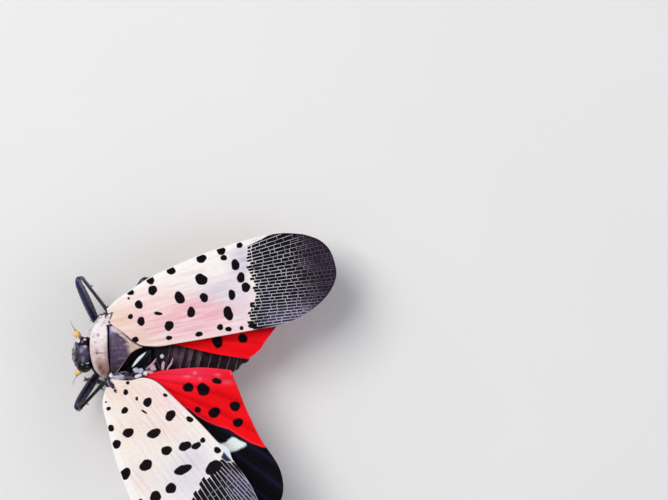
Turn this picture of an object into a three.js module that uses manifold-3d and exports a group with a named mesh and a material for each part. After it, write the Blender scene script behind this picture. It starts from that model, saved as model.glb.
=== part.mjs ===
import * as THREE from "three";
import { mergeVertices } from "three/addons/utils/BufferGeometryUtils.js";
import Module from "manifold-3d";

// Adult spotted lanternfly, life size, standing with its left wings spread. Millimetres.
// The head points along -X, the insect's right side is +Y, up is +Z, and the feet stand on z = 0.

const wasm = await Module();
wasm.setup();

// Driving dimensions
const FOREWING_LENGTH = 21;
const WING_THICKNESS = 0.5;
const VEIN_HEIGHT = 0.2;
const VEIN_HALF_WIDTH = 0.16;
const GAP = 0.25;
const EYE_GAP = 0.15;
const LEG_SIDES = 8;
const BODY_SIDES = 20;
// A limb's rounded end: how far it reaches past the last ring and how wide it still is, in radii.
const ROUND_END_REACH = 0.5;
const ROUND_END_WIDTH = 0.6;
// Where the middle of the model's box lies in the plan that the outlines below are given in.
const PLAN_CENTRE = new THREE.Vector3(8.22, -4.53, 0);

// Forewings. The frame's base is the hinge, s runs from it to the tip and w towards the costa.
const RIGHT_FOREWING_FRAME = { base: [-0.44, 2.21], angle: 13.4, side: 1 };
const LEFT_FOREWING_FRAME = { base: [-0.18, -3.19], angle: -48.65, side: -1 };
// Each outline gives its costa and its anal edge from the hinge, and its margin from costa to anal edge.
const RIGHT_FOREWING_OUTLINE = {
  costa: [
    [0.45, 1.3],
    [1.6, 1.95],
    [2.9, 2.46],
    [4.82, 3.15],
    [6.98, 3.62],
    [9.53, 4.05],
    [12.5, 4.34],
    [15.2, 4.41],
    [17.2, 4.22],
    [18.9, 3.72],
  ],
  margin: [
    [18.9, 3.72],
    [20.1, 2.95],
    [20.8, 1.95],
    [FOREWING_LENGTH, 0.75],
    [20.9, -0.4],
    [20.3, -1.4],
    [19.4, -2.2],
    [18.2, -2.88],
  ],
  anal: [
    [0.5, 0.1],
    [1.37, -1.0],
    [2.5, -2.35],
    [3.9, -2.86],
    [6.0, -3.02],
    [9.0, -3.22],
    [12.2, -3.4],
    [15.0, -3.56],
    [16.7, -3.38],
    [18.2, -2.88],
  ],
};
const LEFT_FOREWING_OUTLINE = {
  costa: [
    [-0.3, 0.45],
    [1.0, 1.4],
    [2.24, 2.1],
    [3.4, 2.73],
    [5.0, 3.55],
    [7.02, 4.35],
    [9.2, 5.05],
    [12.0, 5.35],
    [14.6, 5.2],
    [16.4, 4.75],
    [17.7, 4.15],
  ],
  margin: [
    [17.7, 4.15],
    [18.8, 3.3],
    [19.5, 2.2],
    [19.75, 0.8],
    [19.5, -0.6],
    [18.8, -1.8],
    [17.6, -2.8],
  ],
  anal: [
    [-0.3, -0.6],
    [0.82, -1.73],
    [1.6, -2.95],
    [2.8, -3.58],
    [4.9, -3.75],
    [7.4, -3.98],
    [9.9, -4.08],
    [12.8, -4.05],
    [14.8, -3.85],
    [16.4, -3.4],
    [17.6, -2.8],
  ],
};
const FOREWING_VEINS = [0.08, 0.19, 0.31, 0.43, 0.55, 0.67, 0.79, 0.91];
const FOREWING_ROWS = 16;
const FOREWING_WIDTH = 0.36 * FOREWING_LENGTH;
const FOREWING_ROOT_BOSS = 0.35;
// How late along a wing its lines begin to bend towards the rounded end.
const END_BLEND = 2.5;
// The right forewing lies as a low roof over the abdomen: its ridge is at the inner edge.
const ROOF_RIDGE = 7.0;
const ROOF_RISE = 0.075;
const ROOF_SAG = 0.004;
const ROOF_INNER_EDGE = -3.2;
const ROOF_SLOPE = 0.12;
const ROOF_CAMBER = 0.028;
// The left forewing is lifted clear of the hindwing.
const LIFTED_HINGE_HEIGHT = 6.45;
const LIFTED_SLOPE = Math.tan(THREE.MathUtils.degToRad(20));
const LIFTED_CAMBER = 0.018;
const LIFTED_TWIST = 0.05;

// Hindwings, in plan, with the same three edges.
const RIGHT_HINDWING_OUTLINE = {
  costa: [
    [3.0, 2.4],
    [6.0, 4.6],
    [10.0, 6.8],
    [13.6, 7.75],
  ],
  margin: [
    [13.6, 7.75],
    [15.6, 7.9],
    [16.8, 7.0],
    [16.8, 5.6],
    [15.9, 3.9],
    [14.9, 2.4],
    [13.91, 1.03],
    [13.1, -0.1],
    [12.15, -0.8],
  ],
  anal: [
    [3.4, 1.0],
    [6.87, 0.22],
    [9.37, -0.36],
    [12.15, -0.8],
  ],
};
const LEFT_HINDWING_OUTLINE = {
  costa: [
    [2.6, -3.3],
    [4.6, -6.2],
    [7.4, -9.6],
    [10.6, -12.6],
  ],
  margin: [
    [10.6, -12.6],
    [12.9, -13.9],
    [14.7, -13.7],
    [15.3, -12.3],
    [14.9, -10.3],
    [13.4, -8.0],
    [12.21, -5.63],
    [11.35, -3.5],
    [10.67, -1.77],
  ],
  anal: [
    [3.25, -2.15],
    [4.87, -1.8],
    [8.0, -1.55],
    [10.67, -1.77],
  ],
};
const HINDWING_VEINS = [0.1, 0.24, 0.38, 0.52, 0.66, 0.8, 0.92];
const HINDWING_ROWS = 10;
const HINDWING_WIDTH = 5.5;
const HINDWING_THICKNESS = 0.5;
const HINDWING_ROOT_BOSS = 0.18;
const FOLD_GAP = 0.45;
const SPREAD_HINDWING_HEIGHT = 6.0;
const SPREAD_HINDWING_SLOPE = 0.1;

// Head
const HEAD_MIDLINE = -0.3;
const HEAD_SECTIONS = [
  { x: -3.38, width: 1.2, z: 5.2, height: 0.7 },
  { x: -3.27, width: 1.9, z: 5.08, height: 1.4 },
  { x: -3.05, width: 2.3, z: 4.88, height: 2.1 },
  { x: -2.75, width: 2.6, z: 4.68, height: 2.7 },
  { x: -2.4, width: 2.7, z: 4.6, height: 3.0 },
  { x: -2.05, width: 2.6, z: 4.6, height: 3.0 },
];
const EYE_CENTRE = new THREE.Vector3(-2.46, 1.22, 5.2);
const EYE_RADII = new THREE.Vector3(0.46, 0.45, 0.58);
const ANTENNA_CENTRES = [
  [-2.94, 1.37, 4.4],
  [-2.8, -1.75, 4.15],
];
const ANTENNA_BULB = new THREE.Vector3(0.3, 0.34, 0.3);
const BRISTLE_LENGTH = 1.3;
const BRISTLE_RADII = [0.14, 0.12, 0.06];
const CLYPEUS_PATH = [
  [-2.85, HEAD_MIDLINE, 2.7],
  [-2.6, HEAD_MIDLINE, 2.45],
  [-2.3, HEAD_MIDLINE, 2.26],
];
const CLYPEUS_RADII = [0.34, 0.4, 0.3];
const ROSTRUM_RADII = [0.27, 0.25, 0.25, 0.22];
const ROSTRUM_PATH = [
  [-1.75, -0.25, 2.12],
  [-0.6, -0.15, 2.08],
  [0.8, -0.05, 2.06],
  [2.0, 0, 2.08],
];

// Thorax
const PRONOTUM_FRONT = [
  [-0.74, 3.05],
  [-1.4, 2.2],
  [-1.75, 1.2],
  [-1.8, 0.2],
  [-1.68, -0.8],
  [-1.35, -1.8],
  [-0.5, -2.75],
];
const PRONOTUM_REAR = [
  [-0.55, 3.12],
  [-0.34, 2.4],
  [-0.2, 1.6],
  [-0.14, 0.3],
  [-0.1, -0.8],
  [0, -1.8],
  [-0.32, -2.82],
];
// A dome falls from its centre by so much for each square millimetre across and along the body.
const PRONOTUM_DOME = { centre: [-0.5, 0, 6.75], across: 0.24, along: 0.09 };
const PRONOTUM_BELLY = { centre: [-0.5, 0, 2.9], across: -0.15, along: 0 };
const MESONOTUM_RIGHT = [
  [0.12, 2.0],
  [0.62, 1.6],
  [1.15, 1.12],
  [1.75, 0.62],
  [2.35, 0.3],
  [2.72, 0.14],
];
const MESONOTUM_LEFT = [
  [0.26, -2.05],
  [0.8, -1.5],
  [1.35, -0.82],
  [1.9, -0.3],
  [2.4, -0.02],
  [2.72, 0.06],
];
const MESONOTUM_DOME = { centre: [0, 0, 6.95], across: 0.2, along: 0.045 };
const MESONOTUM_BOTTOM = 5.4;
const METANOTUM_FRONT = [
  [0.85, -2.4],
  [1.75, -1.25],
  [2.5, -0.4],
  [3.05, 0.1],
  [3.2, 0.35],
  [3.25, 0.6],
];
const METANOTUM_REAR = [
  [1.5, -2.6],
  [2.75, -1.9],
  [3.75, -1.5],
  [3.85, -0.7],
  [3.85, 0],
  [3.8, 0.6],
];
const METANOTUM_DOME = { centre: [2.6, -0.4, 5.95], across: 0.06, along: 0.05 };
const METANOTUM_BOTTOM = 5.45;
// The scales over the wing roots: right, then left.
const TEGULA_PLACES = [
  [-0.02, 2.9, 6.7],
  [-0.15, -3.0, 7.03],
];
const TEGULA_RADII = new THREE.Vector3(0.25, 0.5, 0.16);
const TEGULA_TURN = 15;
const TEGULA_TILT = 18;
const THORAX_SECTIONS = [
  { x: 0.28, width: 4.7, z: 3.9, height: 2.2 },
  { x: 0.6, width: 5.3, z: 3.86, height: 2.5 },
  { x: 1.1, width: 5.4, z: 3.84, height: 2.6 },
  { x: 1.6, width: 5.15, z: 3.88, height: 2.5 },
  { x: 2.1, width: 5.2, z: 3.85, height: 2.56 },
  { x: 2.8, width: 5.1, z: 3.84, height: 2.6 },
  { x: 3.4, width: 4.7, z: 3.86, height: 2.5 },
  { x: 3.82, width: 4.2, z: 3.9, height: 2.3 },
];
// Squareness of a body ring: 2 is an ellipse and more is boxier.
const HEAD_SQUARENESS = 2.6;
const THORAX_SQUARENESS = 3;
const ABDOMEN_SQUARENESS = 2.2;

// Abdomen: rings that narrow to the end, each a little wider at its rear edge.
const ABDOMEN_START = 4.07;
const ABDOMEN_END = 11.3;
const ABDOMEN_RINGS = 7;
const ABDOMEN_WIDTH = 4.8;
const ABDOMEN_HEIGHT = 3.0;
const ABDOMEN_MIDDLE_HEIGHT = 4.0;
const ABDOMEN_SWING = -0.085;
const ABDOMEN_WIDEST = 0.28;
const ABDOMEN_TAPER_LENGTH = 0.8;
const ABDOMEN_END_DROP = 0.35;
// Where each ring begins, is widest and ends, as shares of the abdomen's length off its own ends.
const RING_SWELL = [
  { from: "start", shift: 0.01, size: 0.955 },
  { from: "end", shift: -0.05, size: 1 },
  { from: "end", shift: -0.015, size: 0.985 },
];
const TIP_SECTIONS = [
  { past: 0, width: 1.35, height: 1.1 },
  { past: 0.35, width: 1.1, height: 0.95 },
  { past: 0.7, width: 0.6, height: 0.6 },
];

// Legs: hip, knee, ankle and toe in plan and height, with the spines on the tibia.
const LEGS = {
  front_right: {
    hip: [-1.0, 1.2, 2.5],
    trochanter: [-1.1, 1.8, 2.25],
    knee: [-2.92, 6.08, 5.2],
    ankle: [-0.45, 3.45, 1.2],
    toe: [-1.75, 2.75, 0.2],
    spines: 2,
  },
  front_left: {
    hip: [-0.95, -1.25, 2.48],
    trochanter: [-1.05, -1.85, 2.25],
    knee: [-3.0, -4.95, 5.0],
    ankle: [-1.0, -3.3, 1.2],
    toe: [-2.3, -2.75, 0.2],
    spines: 2,
  },
  middle_right: {
    hip: [0.9, 1.5, 2.05],
    trochanter: [0.98, 2.1, 1.85],
    knee: [2.85, 6.15, 4.2],
    ankle: [6.0, 6.5, 1.2],
    toe: [7.4, 7.1, 0.2],
    spines: 3,
  },
  middle_left: {
    hip: [0.9, -1.5, 2.05],
    trochanter: [0.98, -2.1, 1.85],
    knee: [1.7, -6.3, 4.6],
    ankle: [4.3, -8.2, 1.2],
    toe: [5.5, -9.2, 0.2],
    spines: 3,
  },
  hind_right: {
    hip: [2.7, 1.4, 2.05],
    trochanter: [2.9, 2.0, 1.85],
    knee: [6.4, 4.9, 3.8],
    ankle: [12.2, 6.6, 1.2],
    toe: [13.7, 7.2, 0.2],
    spines: 5,
  },
  hind_left: {
    hip: [2.7, -1.4, 2.05],
    trochanter: [2.9, -2.0, 1.85],
    knee: [5.6, -5.6, 4.1],
    ankle: [10.5, -6.85, 1.2],
    toe: [12.0, -7.45, 0.2],
    spines: 5,
  },
};
const COXA_RADIUS = 0.38;
const FEMUR_RADIUS = 0.33;
const KNEE_RADIUS = 0.27;
const TIBIA_RADIUS = 0.26;
const TARSUS_RADIUS = 0.26;
const TARSUS_REST_HEIGHT = 0.21;
const HEEL_HEIGHT = 0.42;
const HEEL_LENGTH = 0.35;
const FLOOR_SIZE = 60;
// Spines stand in a row from one share of the shin to another, each a little longer than the last.
const SPINE_ROW = { first: 0.3, last: 0.92 };
const SPINE_LENGTH = 0.5;
const SPINE_GROWTH = 0.05;
const SPINE_RADIUS = 0.15;
const SPINE_ROOT_DEPTH = 0.1;
const SPINE_LEAN = 0.55;
const SPINE_STAGGER = 0.35;
const CLAW_LENGTH = 0.42;
const CLAW_RADIUS = 0.11;
const CLAW_SPREAD = 0.5;

const COLOURS = {
  head: 0x3c374b,
  eye: 0x17131c,
  antenna: 0xf0a13a,
  rostrum: 0x2a2028,
  pronotum: 0xcfa9a0,
  mesonotum: 0x5a4b64,
  metanotum: 0x0f0c12,
  thorax: 0x1a161e,
  abdomen: 0x2b2030,
  tegula: 0xd9aeb2,
  forewing: 0xf0d9cf,
  hindwing: 0xd8101c,
  leg: 0x16151c,
};

function finish(colour, roughness) {
  return new THREE.MeshStandardMaterial({ color: colour, roughness, metalness: 0 });
}

// Turns a geometry's faces outwards, whichever way they were listed.
function facingOut(vertices, faces) {
  let volume = 0;
  for (const [a, b, c] of faces) {
    volume += vertices[a].dot(vertices[b].clone().cross(vertices[c]));
  }
  const ordered = volume < 0 ? faces.map(([a, b, c]) => [a, c, b]) : faces;
  const geometry = new THREE.BufferGeometry();
  const numbers = vertices.flatMap((p) => [p.x, p.y, p.z]);
  geometry.setAttribute("position", new THREE.Float32BufferAttribute(numbers, 3));
  geometry.setIndex(ordered.flat());
  return geometry;
}

// Geometry to a solid that can be joined or cut, and back.
function solidOf(geometry) {
  const plain = geometry.clone();
  plain.deleteAttribute("normal");
  plain.deleteAttribute("uv");
  const merged = mergeVertices(plain, 1e-4);
  return new wasm.Manifold(
    new wasm.Mesh({
      numProp: 3,
      vertProperties: new Float32Array(merged.attributes.position.array),
      triVerts: new Uint32Array(merged.index.array),
    }),
  );
}

function geometryOf(solid) {
  const pieces = solid.decompose();
  const largest = pieces.reduce((best, piece) => (piece.volume() > best.volume() ? piece : best));
  const mesh = largest.getMesh();
  const geometry = new THREE.BufferGeometry();
  const points = [];
  for (let i = 0; i < mesh.vertProperties.length; i += mesh.numProp) {
    points.push(...mesh.vertProperties.subarray(i, i + 3));
  }
  geometry.setAttribute("position", new THREE.Float32BufferAttribute(points, 3));
  geometry.setIndex(Array.from(mesh.triVerts));
  return geometry;
}

function joined(geometries) {
  return geometryOf(geometries.map(solidOf).reduce((whole, piece) => whole.add(piece)));
}

function cutAway(geometry, tools) {
  return geometryOf(tools.map(solidOf).reduce((whole, tool) => whole.subtract(tool), solidOf(geometry)));
}

function smoothEdge(points) {
  const curve = new THREE.SplineCurve(points.map(([x, y]) => new THREE.Vector2(x, y)));
  return (t) => curve.getPoint(t);
}

// A closed plate over a plan that pointAt gives, split into triangles alike on both faces.
function plate(pointAt, rows, columns, topAt, bottomAt) {
  const vertices = [];
  for (const heightAt of [topAt, bottomAt]) {
    for (const u of rows) {
      for (const v of columns) {
        const p = pointAt(u, v);
        vertices.push(new THREE.Vector3(p.x, p.y, heightAt(p.x, p.y, u, v)));
      }
    }
  }
  const wide = columns.length;
  const high = rows.length;
  const below = high * wide;
  const faces = [];
  for (let r = 0; r < high - 1; r++) {
    for (let c = 0; c < wide - 1; c++) {
      const a = r * wide + c;
      const [b, d, e] = [a + wide, a + wide + 1, a + 1];
      faces.push([a, b, d], [a, d, e]);
      faces.push([a + below, d + below, b + below], [a + below, e + below, d + below]);
    }
  }
  const rim = [];
  for (let c = 0; c < wide - 1; c++) rim.push(c);
  for (let r = 0; r < high - 1; r++) rim.push(r * wide + wide - 1);
  for (let c = wide - 1; c > 0; c--) rim.push((high - 1) * wide + c);
  for (let r = high - 1; r > 0; r--) rim.push(r * wide);
  rim.forEach((here, i) => {
    const next = rim[(i + 1) % rim.length];
    faces.push([here, next, next + below], [here, next + below, here + below]);
  });
  return facingOut(vertices, faces);
}

function steps(count) {
  return Array.from({ length: count + 1 }, (_, i) => i / count);
}

function between(firstEdge, secondEdge) {
  return (u, v) => firstEdge(u).lerp(secondEdge(u), v);
}

// A patch that follows a costa, an anal edge and a margin, with a straight line at its root.
function fourSided({ costa, margin, anal }) {
  const front = smoothEdge(costa);
  const rear = smoothEdge(anal);
  const outer = smoothEdge(margin);
  return (u, v) => {
    const across = front(u).lerp(rear(u), v);
    const straightEnd = front(1).lerp(rear(1), v);
    return across.addScaledVector(outer(v).sub(straightEnd), u ** END_BLEND);
  };
}

// A closed skin over a row of rings that all have the same number of points.
function loft(rings) {
  const sides = rings[0].length;
  const vertices = rings.flat();
  const faces = [];
  for (let r = 0; r < rings.length - 1; r++) {
    for (let i = 0; i < sides; i++) {
      const a = r * sides + i;
      const b = r * sides + ((i + 1) % sides);
      faces.push([a, b, b + sides], [a, b + sides, a + sides]);
    }
  }
  for (const [ring, first, turned] of [
    [rings[0], 0, true],
    [rings[rings.length - 1], (rings.length - 1) * sides, false],
  ]) {
    const middle = ring.reduce((sum, p) => sum.add(p), new THREE.Vector3()).divideScalar(sides);
    const centre = vertices.push(middle) - 1;
    for (let i = 0; i < sides; i++) {
      const a = first + i;
      const b = first + ((i + 1) % sides);
      faces.push(turned ? [centre, b, a] : [centre, a, b]);
    }
  }
  return facingOut(vertices, faces);
}

// An upright ring across the body.
function bodyRing({ x, y = 0, width, z, height }, squareness = 2, sides = BODY_SIDES) {
  return Array.from({ length: sides }, (_, i) => {
    const angle = (2 * Math.PI * i) / sides;
    const bend = (value) => Math.sign(value) * Math.abs(value) ** (2 / squareness);
    const across = bend(Math.cos(angle)) * (width / 2);
    const upward = bend(Math.sin(angle)) * (height / 2);
    return new THREE.Vector3(x, y + across, z + upward);
  });
}

// A tapered limb along a smooth path, closed and rounded at both ends.
function limb(points, radii, { steps = 8, sides = LEG_SIDES } = {}) {
  const path = new THREE.CatmullRomCurve3(
    points.map((p) => new THREE.Vector3(...(Array.isArray(p) ? p : p.toArray()))),
    false,
    "centripetal",
  );
  const frames = path.computeFrenetFrames(steps, false);
  const radiusAt = (t) => {
    const place = t * (radii.length - 1);
    const before = Math.min(Math.floor(place), radii.length - 2);
    return THREE.MathUtils.lerp(radii[before], radii[before + 1], place - before);
  };
  const ring = (step, radius, shift) => {
    const centre = path.getPointAt(step / steps).addScaledVector(frames.tangents[step], shift);
    return Array.from({ length: sides }, (_, i) => {
      const angle = (2 * Math.PI * i) / sides;
      return centre
        .clone()
        .addScaledVector(frames.normals[step], Math.cos(angle) * radius)
        .addScaledVector(frames.binormals[step], Math.sin(angle) * radius);
    });
  };
  const rings = [ring(0, radiusAt(0) * ROUND_END_WIDTH, -radiusAt(0) * ROUND_END_REACH)];
  for (let step = 0; step <= steps; step++) rings.push(ring(step, radiusAt(step / steps), 0));
  rings.push(ring(steps, radiusAt(1) * ROUND_END_WIDTH, radiusAt(1) * ROUND_END_REACH));
  return loft(rings);
}

function ellipsoid(centre, radii, sides = 14, bands = 10) {
  const geometry = new THREE.SphereGeometry(1, sides, bands);
  geometry.scale(radii.x, radii.y, radii.z);
  geometry.translate(centre.x, centre.y, centre.z);
  return geometry;
}

function spine(root, direction, length, radius) {
  const geometry = new THREE.ConeGeometry(radius, length, 6);
  geometry.translate(0, length / 2, 0);
  geometry.applyQuaternion(
    new THREE.Quaternion().setFromUnitVectors(new THREE.Vector3(0, 1, 0), direction.clone().normalize()),
  );
  geometry.translate(root.x, root.y, root.z);
  return geometry;
}

// Plan coordinates of a forewing point at s along the wing and w towards the costa.
function forewingPlan(frame, s, w) {
  const turn = THREE.MathUtils.degToRad(frame.angle);
  return new THREE.Vector2(
    frame.base[0] + s * Math.cos(turn) - frame.side * w * Math.sin(turn),
    frame.base[1] + s * Math.sin(turn) + frame.side * w * Math.cos(turn),
  );
}

function forewingPlace(frame, x, y) {
  const turn = THREE.MathUtils.degToRad(frame.angle);
  const dx = x - frame.base[0];
  const dy = y - frame.base[1];
  return {
    s: dx * Math.cos(turn) + dy * Math.sin(turn),
    w: frame.side * (dy * Math.cos(turn) - dx * Math.sin(turn)),
  };
}

// Height of the right forewing's upper face, which falls from its inner edge to its costa.
function roofHeight(x, y) {
  const { s, w } = forewingPlace(RIGHT_FOREWING_FRAME, x, y);
  const down = Math.max(0, w - ROOF_INNER_EDGE);
  return ROOF_RIDGE + ROOF_RISE * s - ROOF_SAG * s * s - ROOF_SLOPE * down - ROOF_CAMBER * down * down;
}

function liftedHeight(x, y) {
  const { s, w } = forewingPlace(LEFT_FOREWING_FRAME, x, y);
  return LIFTED_HINGE_HEIGHT + LIFTED_SLOPE * s - LIFTED_CAMBER * w * w - LIFTED_TWIST * w;
}

// Columns across a wing: each vein is a crest between two feet, and the two edges are last.
function veinColumns(veins, span) {
  const half = VEIN_HALF_WIDTH / span;
  return [0, ...veins.flatMap((v) => [v - half, v, v + half]), 1];
}

// A wing's membrane with its veins raised on the upper face and a thicker root.
function membrane(pointAt, rowCount, veins, span, thickness, boss, heightAt) {
  const crests = new Set(veins);
  const fade = (u) => Math.min(1, 0.35 + 4 * u) * Math.min(1, 0.4 + 5 * (1 - u));
  const top = (x, y, u, v) => heightAt(x, y) + (crests.has(v) ? VEIN_HEIGHT * fade(u) : 0);
  const bottom = (x, y, u) => heightAt(x, y) - thickness - boss * Math.max(0, 1 - 12 * u);
  return plate(pointAt, steps(rowCount), veinColumns(veins, span), top, bottom);
}

function forewing(frame, outline, heightAt) {
  const placed = {};
  for (const [edge, points] of Object.entries(outline)) {
    placed[edge] = points.map(([s, w]) => forewingPlan(frame, s, w).toArray());
  }
  return membrane(
    fourSided(placed),
    FOREWING_ROWS,
    FOREWING_VEINS,
    FOREWING_WIDTH,
    WING_THICKNESS,
    FOREWING_ROOT_BOSS,
    heightAt,
  );
}

function hindwing(outline, heightAt) {
  return membrane(
    fourSided(outline),
    HINDWING_ROWS,
    HINDWING_VEINS,
    HINDWING_WIDTH,
    HINDWING_THICKNESS,
    HINDWING_ROOT_BOSS,
    heightAt,
  );
}

function head() {
  const sections = HEAD_SECTIONS.map((section) => ({ ...section, y: HEAD_MIDLINE }));
  const core = loft(sections.map((section) => bodyRing(section, HEAD_SQUARENESS)));
  const sockets = [1, -1].map((side) => eye(side, EYE_GAP));
  const bulbs = [1, -1].map((side) => antennaBulb(side, EYE_GAP));
  return cutAway(core, [...sockets, ...bulbs]);
}

// The eyes bulge from the sides of the head and sit in hollows of the same shape.
function eye(side, grown = 0) {
  const centre = new THREE.Vector3(EYE_CENTRE.x, HEAD_MIDLINE + side * EYE_CENTRE.y, EYE_CENTRE.z);
  return ellipsoid(centre, EYE_RADII.clone().addScalar(grown));
}

function antennaCentre(side) {
  return new THREE.Vector3(...ANTENNA_CENTRES[side > 0 ? 0 : 1]);
}

function antennaBulb(side, grown = 0) {
  return ellipsoid(antennaCentre(side), ANTENNA_BULB.clone().addScalar(grown), 12, 8);
}

// A swollen pedicel with a fine bristle that points outwards.
function antenna(side) {
  const centre = antennaCentre(side);
  const out = new THREE.Vector3(-0.45, side, 0.1).normalize();
  const bristle = limb(
    [centre, centre.clone().addScaledVector(out, BRISTLE_LENGTH)],
    BRISTLE_RADII,
    { steps: 4, sides: 6 },
  );
  return joined([antennaBulb(side), bristle]);
}

function domed({ centre: [cx, cy, top], across, along }) {
  return (x, y) => top - across * (y - cy) ** 2 - along * (x - cx) ** 2;
}

// The prothorax: a collar domed above and rounded below, thinning to its two corners.
function pronotum() {
  const outline = between(smoothEdge(PRONOTUM_FRONT), smoothEdge(PRONOTUM_REAR));
  return plate(outline, steps(16), steps(6), domed(PRONOTUM_DOME), domed(PRONOTUM_BELLY));
}

function mesonotum() {
  const outline = between(smoothEdge(MESONOTUM_RIGHT), smoothEdge(MESONOTUM_LEFT));
  return plate(outline, steps(10), steps(8), domed(MESONOTUM_DOME), () => MESONOTUM_BOTTOM);
}

function metanotum() {
  const outline = between(smoothEdge(METANOTUM_FRONT), smoothEdge(METANOTUM_REAR));
  return plate(outline, steps(10), steps(4), domed(METANOTUM_DOME), () => METANOTUM_BOTTOM);
}

function tegula(side) {
  const [x, y, z] = TEGULA_PLACES[side > 0 ? 0 : 1];
  const scale = ellipsoid(new THREE.Vector3(0, 0, 0), TEGULA_RADII, 12, 8);
  scale.rotateZ(side * THREE.MathUtils.degToRad(TEGULA_TURN));
  scale.rotateX(-side * THREE.MathUtils.degToRad(TEGULA_TILT));
  scale.translate(x, y, z);
  return scale;
}

function thorax() {
  return loft(THORAX_SECTIONS.map((section) => bodyRing(section, THORAX_SQUARENESS)));
}

function abdomenMiddle(x) {
  return ABDOMEN_SWING * (x - ABDOMEN_START);
}

function abdomenSection(t, swell) {
  const x = THREE.MathUtils.lerp(ABDOMEN_START, ABDOMEN_END, t);
  const taper = Math.sqrt(1 - ((t - ABDOMEN_WIDEST) / ABDOMEN_TAPER_LENGTH) ** 2);
  return {
    x,
    y: abdomenMiddle(x),
    width: ABDOMEN_WIDTH * taper * swell,
    z: ABDOMEN_MIDDLE_HEIGHT - ABDOMEN_END_DROP * t * t,
    height: ABDOMEN_HEIGHT * taper * swell,
  };
}

// Rings that each widen to their rear edge and step in at the next.
function abdomen() {
  const sections = [];
  for (let ring = 0; ring < ABDOMEN_RINGS; ring++) {
    const ends = { start: ring / ABDOMEN_RINGS, end: (ring + 1) / ABDOMEN_RINGS };
    for (const { from, shift, size } of RING_SWELL) sections.push(abdomenSection(ends[from] + shift, size));
  }
  return loft(sections.map((section) => bodyRing(section, ABDOMEN_SQUARENESS)));
}

function abdomenTip() {
  const z = ABDOMEN_MIDDLE_HEIGHT - ABDOMEN_END_DROP;
  return loft(
    TIP_SECTIONS.map(({ past, width, height }) => {
      const x = ABDOMEN_END + GAP + past;
      return bodyRing({ x, y: abdomenMiddle(x), width, z, height }, 2, 12);
    }),
  );
}

function clypeus() {
  return limb(CLYPEUS_PATH, CLYPEUS_RADII, { steps: 4, sides: 10 });
}

function rostrum() {
  return limb(ROSTRUM_PATH, ROSTRUM_RADII);
}

function vectors(leg) {
  const [hip, trochanter, knee, ankle, toe] = ["hip", "trochanter", "knee", "ankle", "toe"].map(
    (joint) => new THREE.Vector3(...leg[joint]),
  );
  const thigh = knee.clone().sub(trochanter).normalize();
  const shank = ankle.clone().sub(knee).normalize();
  // The shin starts beside the end of the thigh, on the side that it leaves by.
  const aside = shank.clone().addScaledVector(thigh, -shank.dot(thigh)).normalize();
  const shinTop = knee.clone().addScaledVector(aside, KNEE_RADIUS + TIBIA_RADIUS + GAP);
  return { hip, trochanter, knee, ankle, toe, shinTop };
}

function femur(leg) {
  const { hip, trochanter, knee } = vectors(leg);
  const middle = trochanter.clone().lerp(knee, 0.45);
  const radii = [COXA_RADIUS, COXA_RADIUS * 0.85, FEMUR_RADIUS, FEMUR_RADIUS * 0.95, KNEE_RADIUS];
  return limb([hip, trochanter, middle, knee], radii, { steps: 10 });
}

// The shin carries spines in a row along its outer side, each leaning towards the foot.
function tibia(leg) {
  const { shinTop, ankle } = vectors(leg);
  const along = ankle.clone().sub(shinTop).normalize();
  const outward = new THREE.Vector3(0, Math.sign(leg.knee[1]), 0);
  outward.addScaledVector(along, -outward.dot(along)).normalize();
  const shin = limb(
    [shinTop, shinTop.clone().lerp(ankle, 0.5), ankle],
    [TIBIA_RADIUS, TIBIA_RADIUS * 0.96, TIBIA_RADIUS * 0.96, TIBIA_RADIUS],
    { steps: 5 },
  );
  const spines = [];
  for (let i = 0; i < leg.spines; i++) {
    const share = THREE.MathUtils.lerp(SPINE_ROW.first, SPINE_ROW.last, (i + 0.5) / leg.spines);
    const turned = outward.clone().applyAxisAngle(along, i % 2 ? SPINE_STAGGER : -SPINE_STAGGER);
    const root = shinTop.clone().lerp(ankle, share).addScaledVector(turned, SPINE_ROOT_DEPTH);
    const lean = turned.clone().addScaledVector(along, SPINE_LEAN);
    spines.push(spine(root, lean, SPINE_LENGTH + SPINE_GROWTH * i, SPINE_RADIUS));
  }
  return joined([shin, ...spines]);
}

// A foot that steps down to the floor and lies along it on a flat sole, with a pair of claws.
function tarsus(leg) {
  const { shinTop, ankle, toe } = vectors(leg);
  const along = ankle.clone().sub(shinTop).normalize();
  const start = ankle.clone().addScaledVector(along, TIBIA_RADIUS * 1.5 + GAP);
  const forward = toe.clone().sub(start).setZ(0).normalize();
  start.z = Math.max(start.z, HEEL_HEIGHT);
  const heel = start.clone().addScaledVector(forward, HEEL_LENGTH).setZ(TARSUS_REST_HEIGHT);
  const sole = heel.clone().lerp(toe, 0.5).setZ(TARSUS_REST_HEIGHT);
  const tip = toe.clone().setZ(TARSUS_REST_HEIGHT);
  const foot = limb(
    [start, heel, sole, tip],
    [TARSUS_RADIUS, TARSUS_RADIUS, TARSUS_RADIUS * 0.92, TARSUS_RADIUS, TARSUS_RADIUS * 1.1],
    { steps: 8 },
  );
  const claws = [-1, 1].map((side) => {
    const out = forward.clone().applyAxisAngle(new THREE.Vector3(0, 0, 1), side * CLAW_SPREAD);
    return spine(tip, out, CLAW_LENGTH, CLAW_RADIUS);
  });
  const floor = new THREE.BoxGeometry(FLOOR_SIZE, FLOOR_SIZE, 1);
  floor.translate(0, 0, -0.5);
  return cutAway(joined([foot, ...claws]), [floor]);
}

const lanternfly = new THREE.Group();

function addNode(name, geometry, colour, roughness) {
  const mesh = new THREE.Mesh(geometry, finish(colour, roughness));
  mesh.name = name;
  mesh.position.copy(PLAN_CENTRE).negate();
  lanternfly.add(mesh);
}

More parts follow.
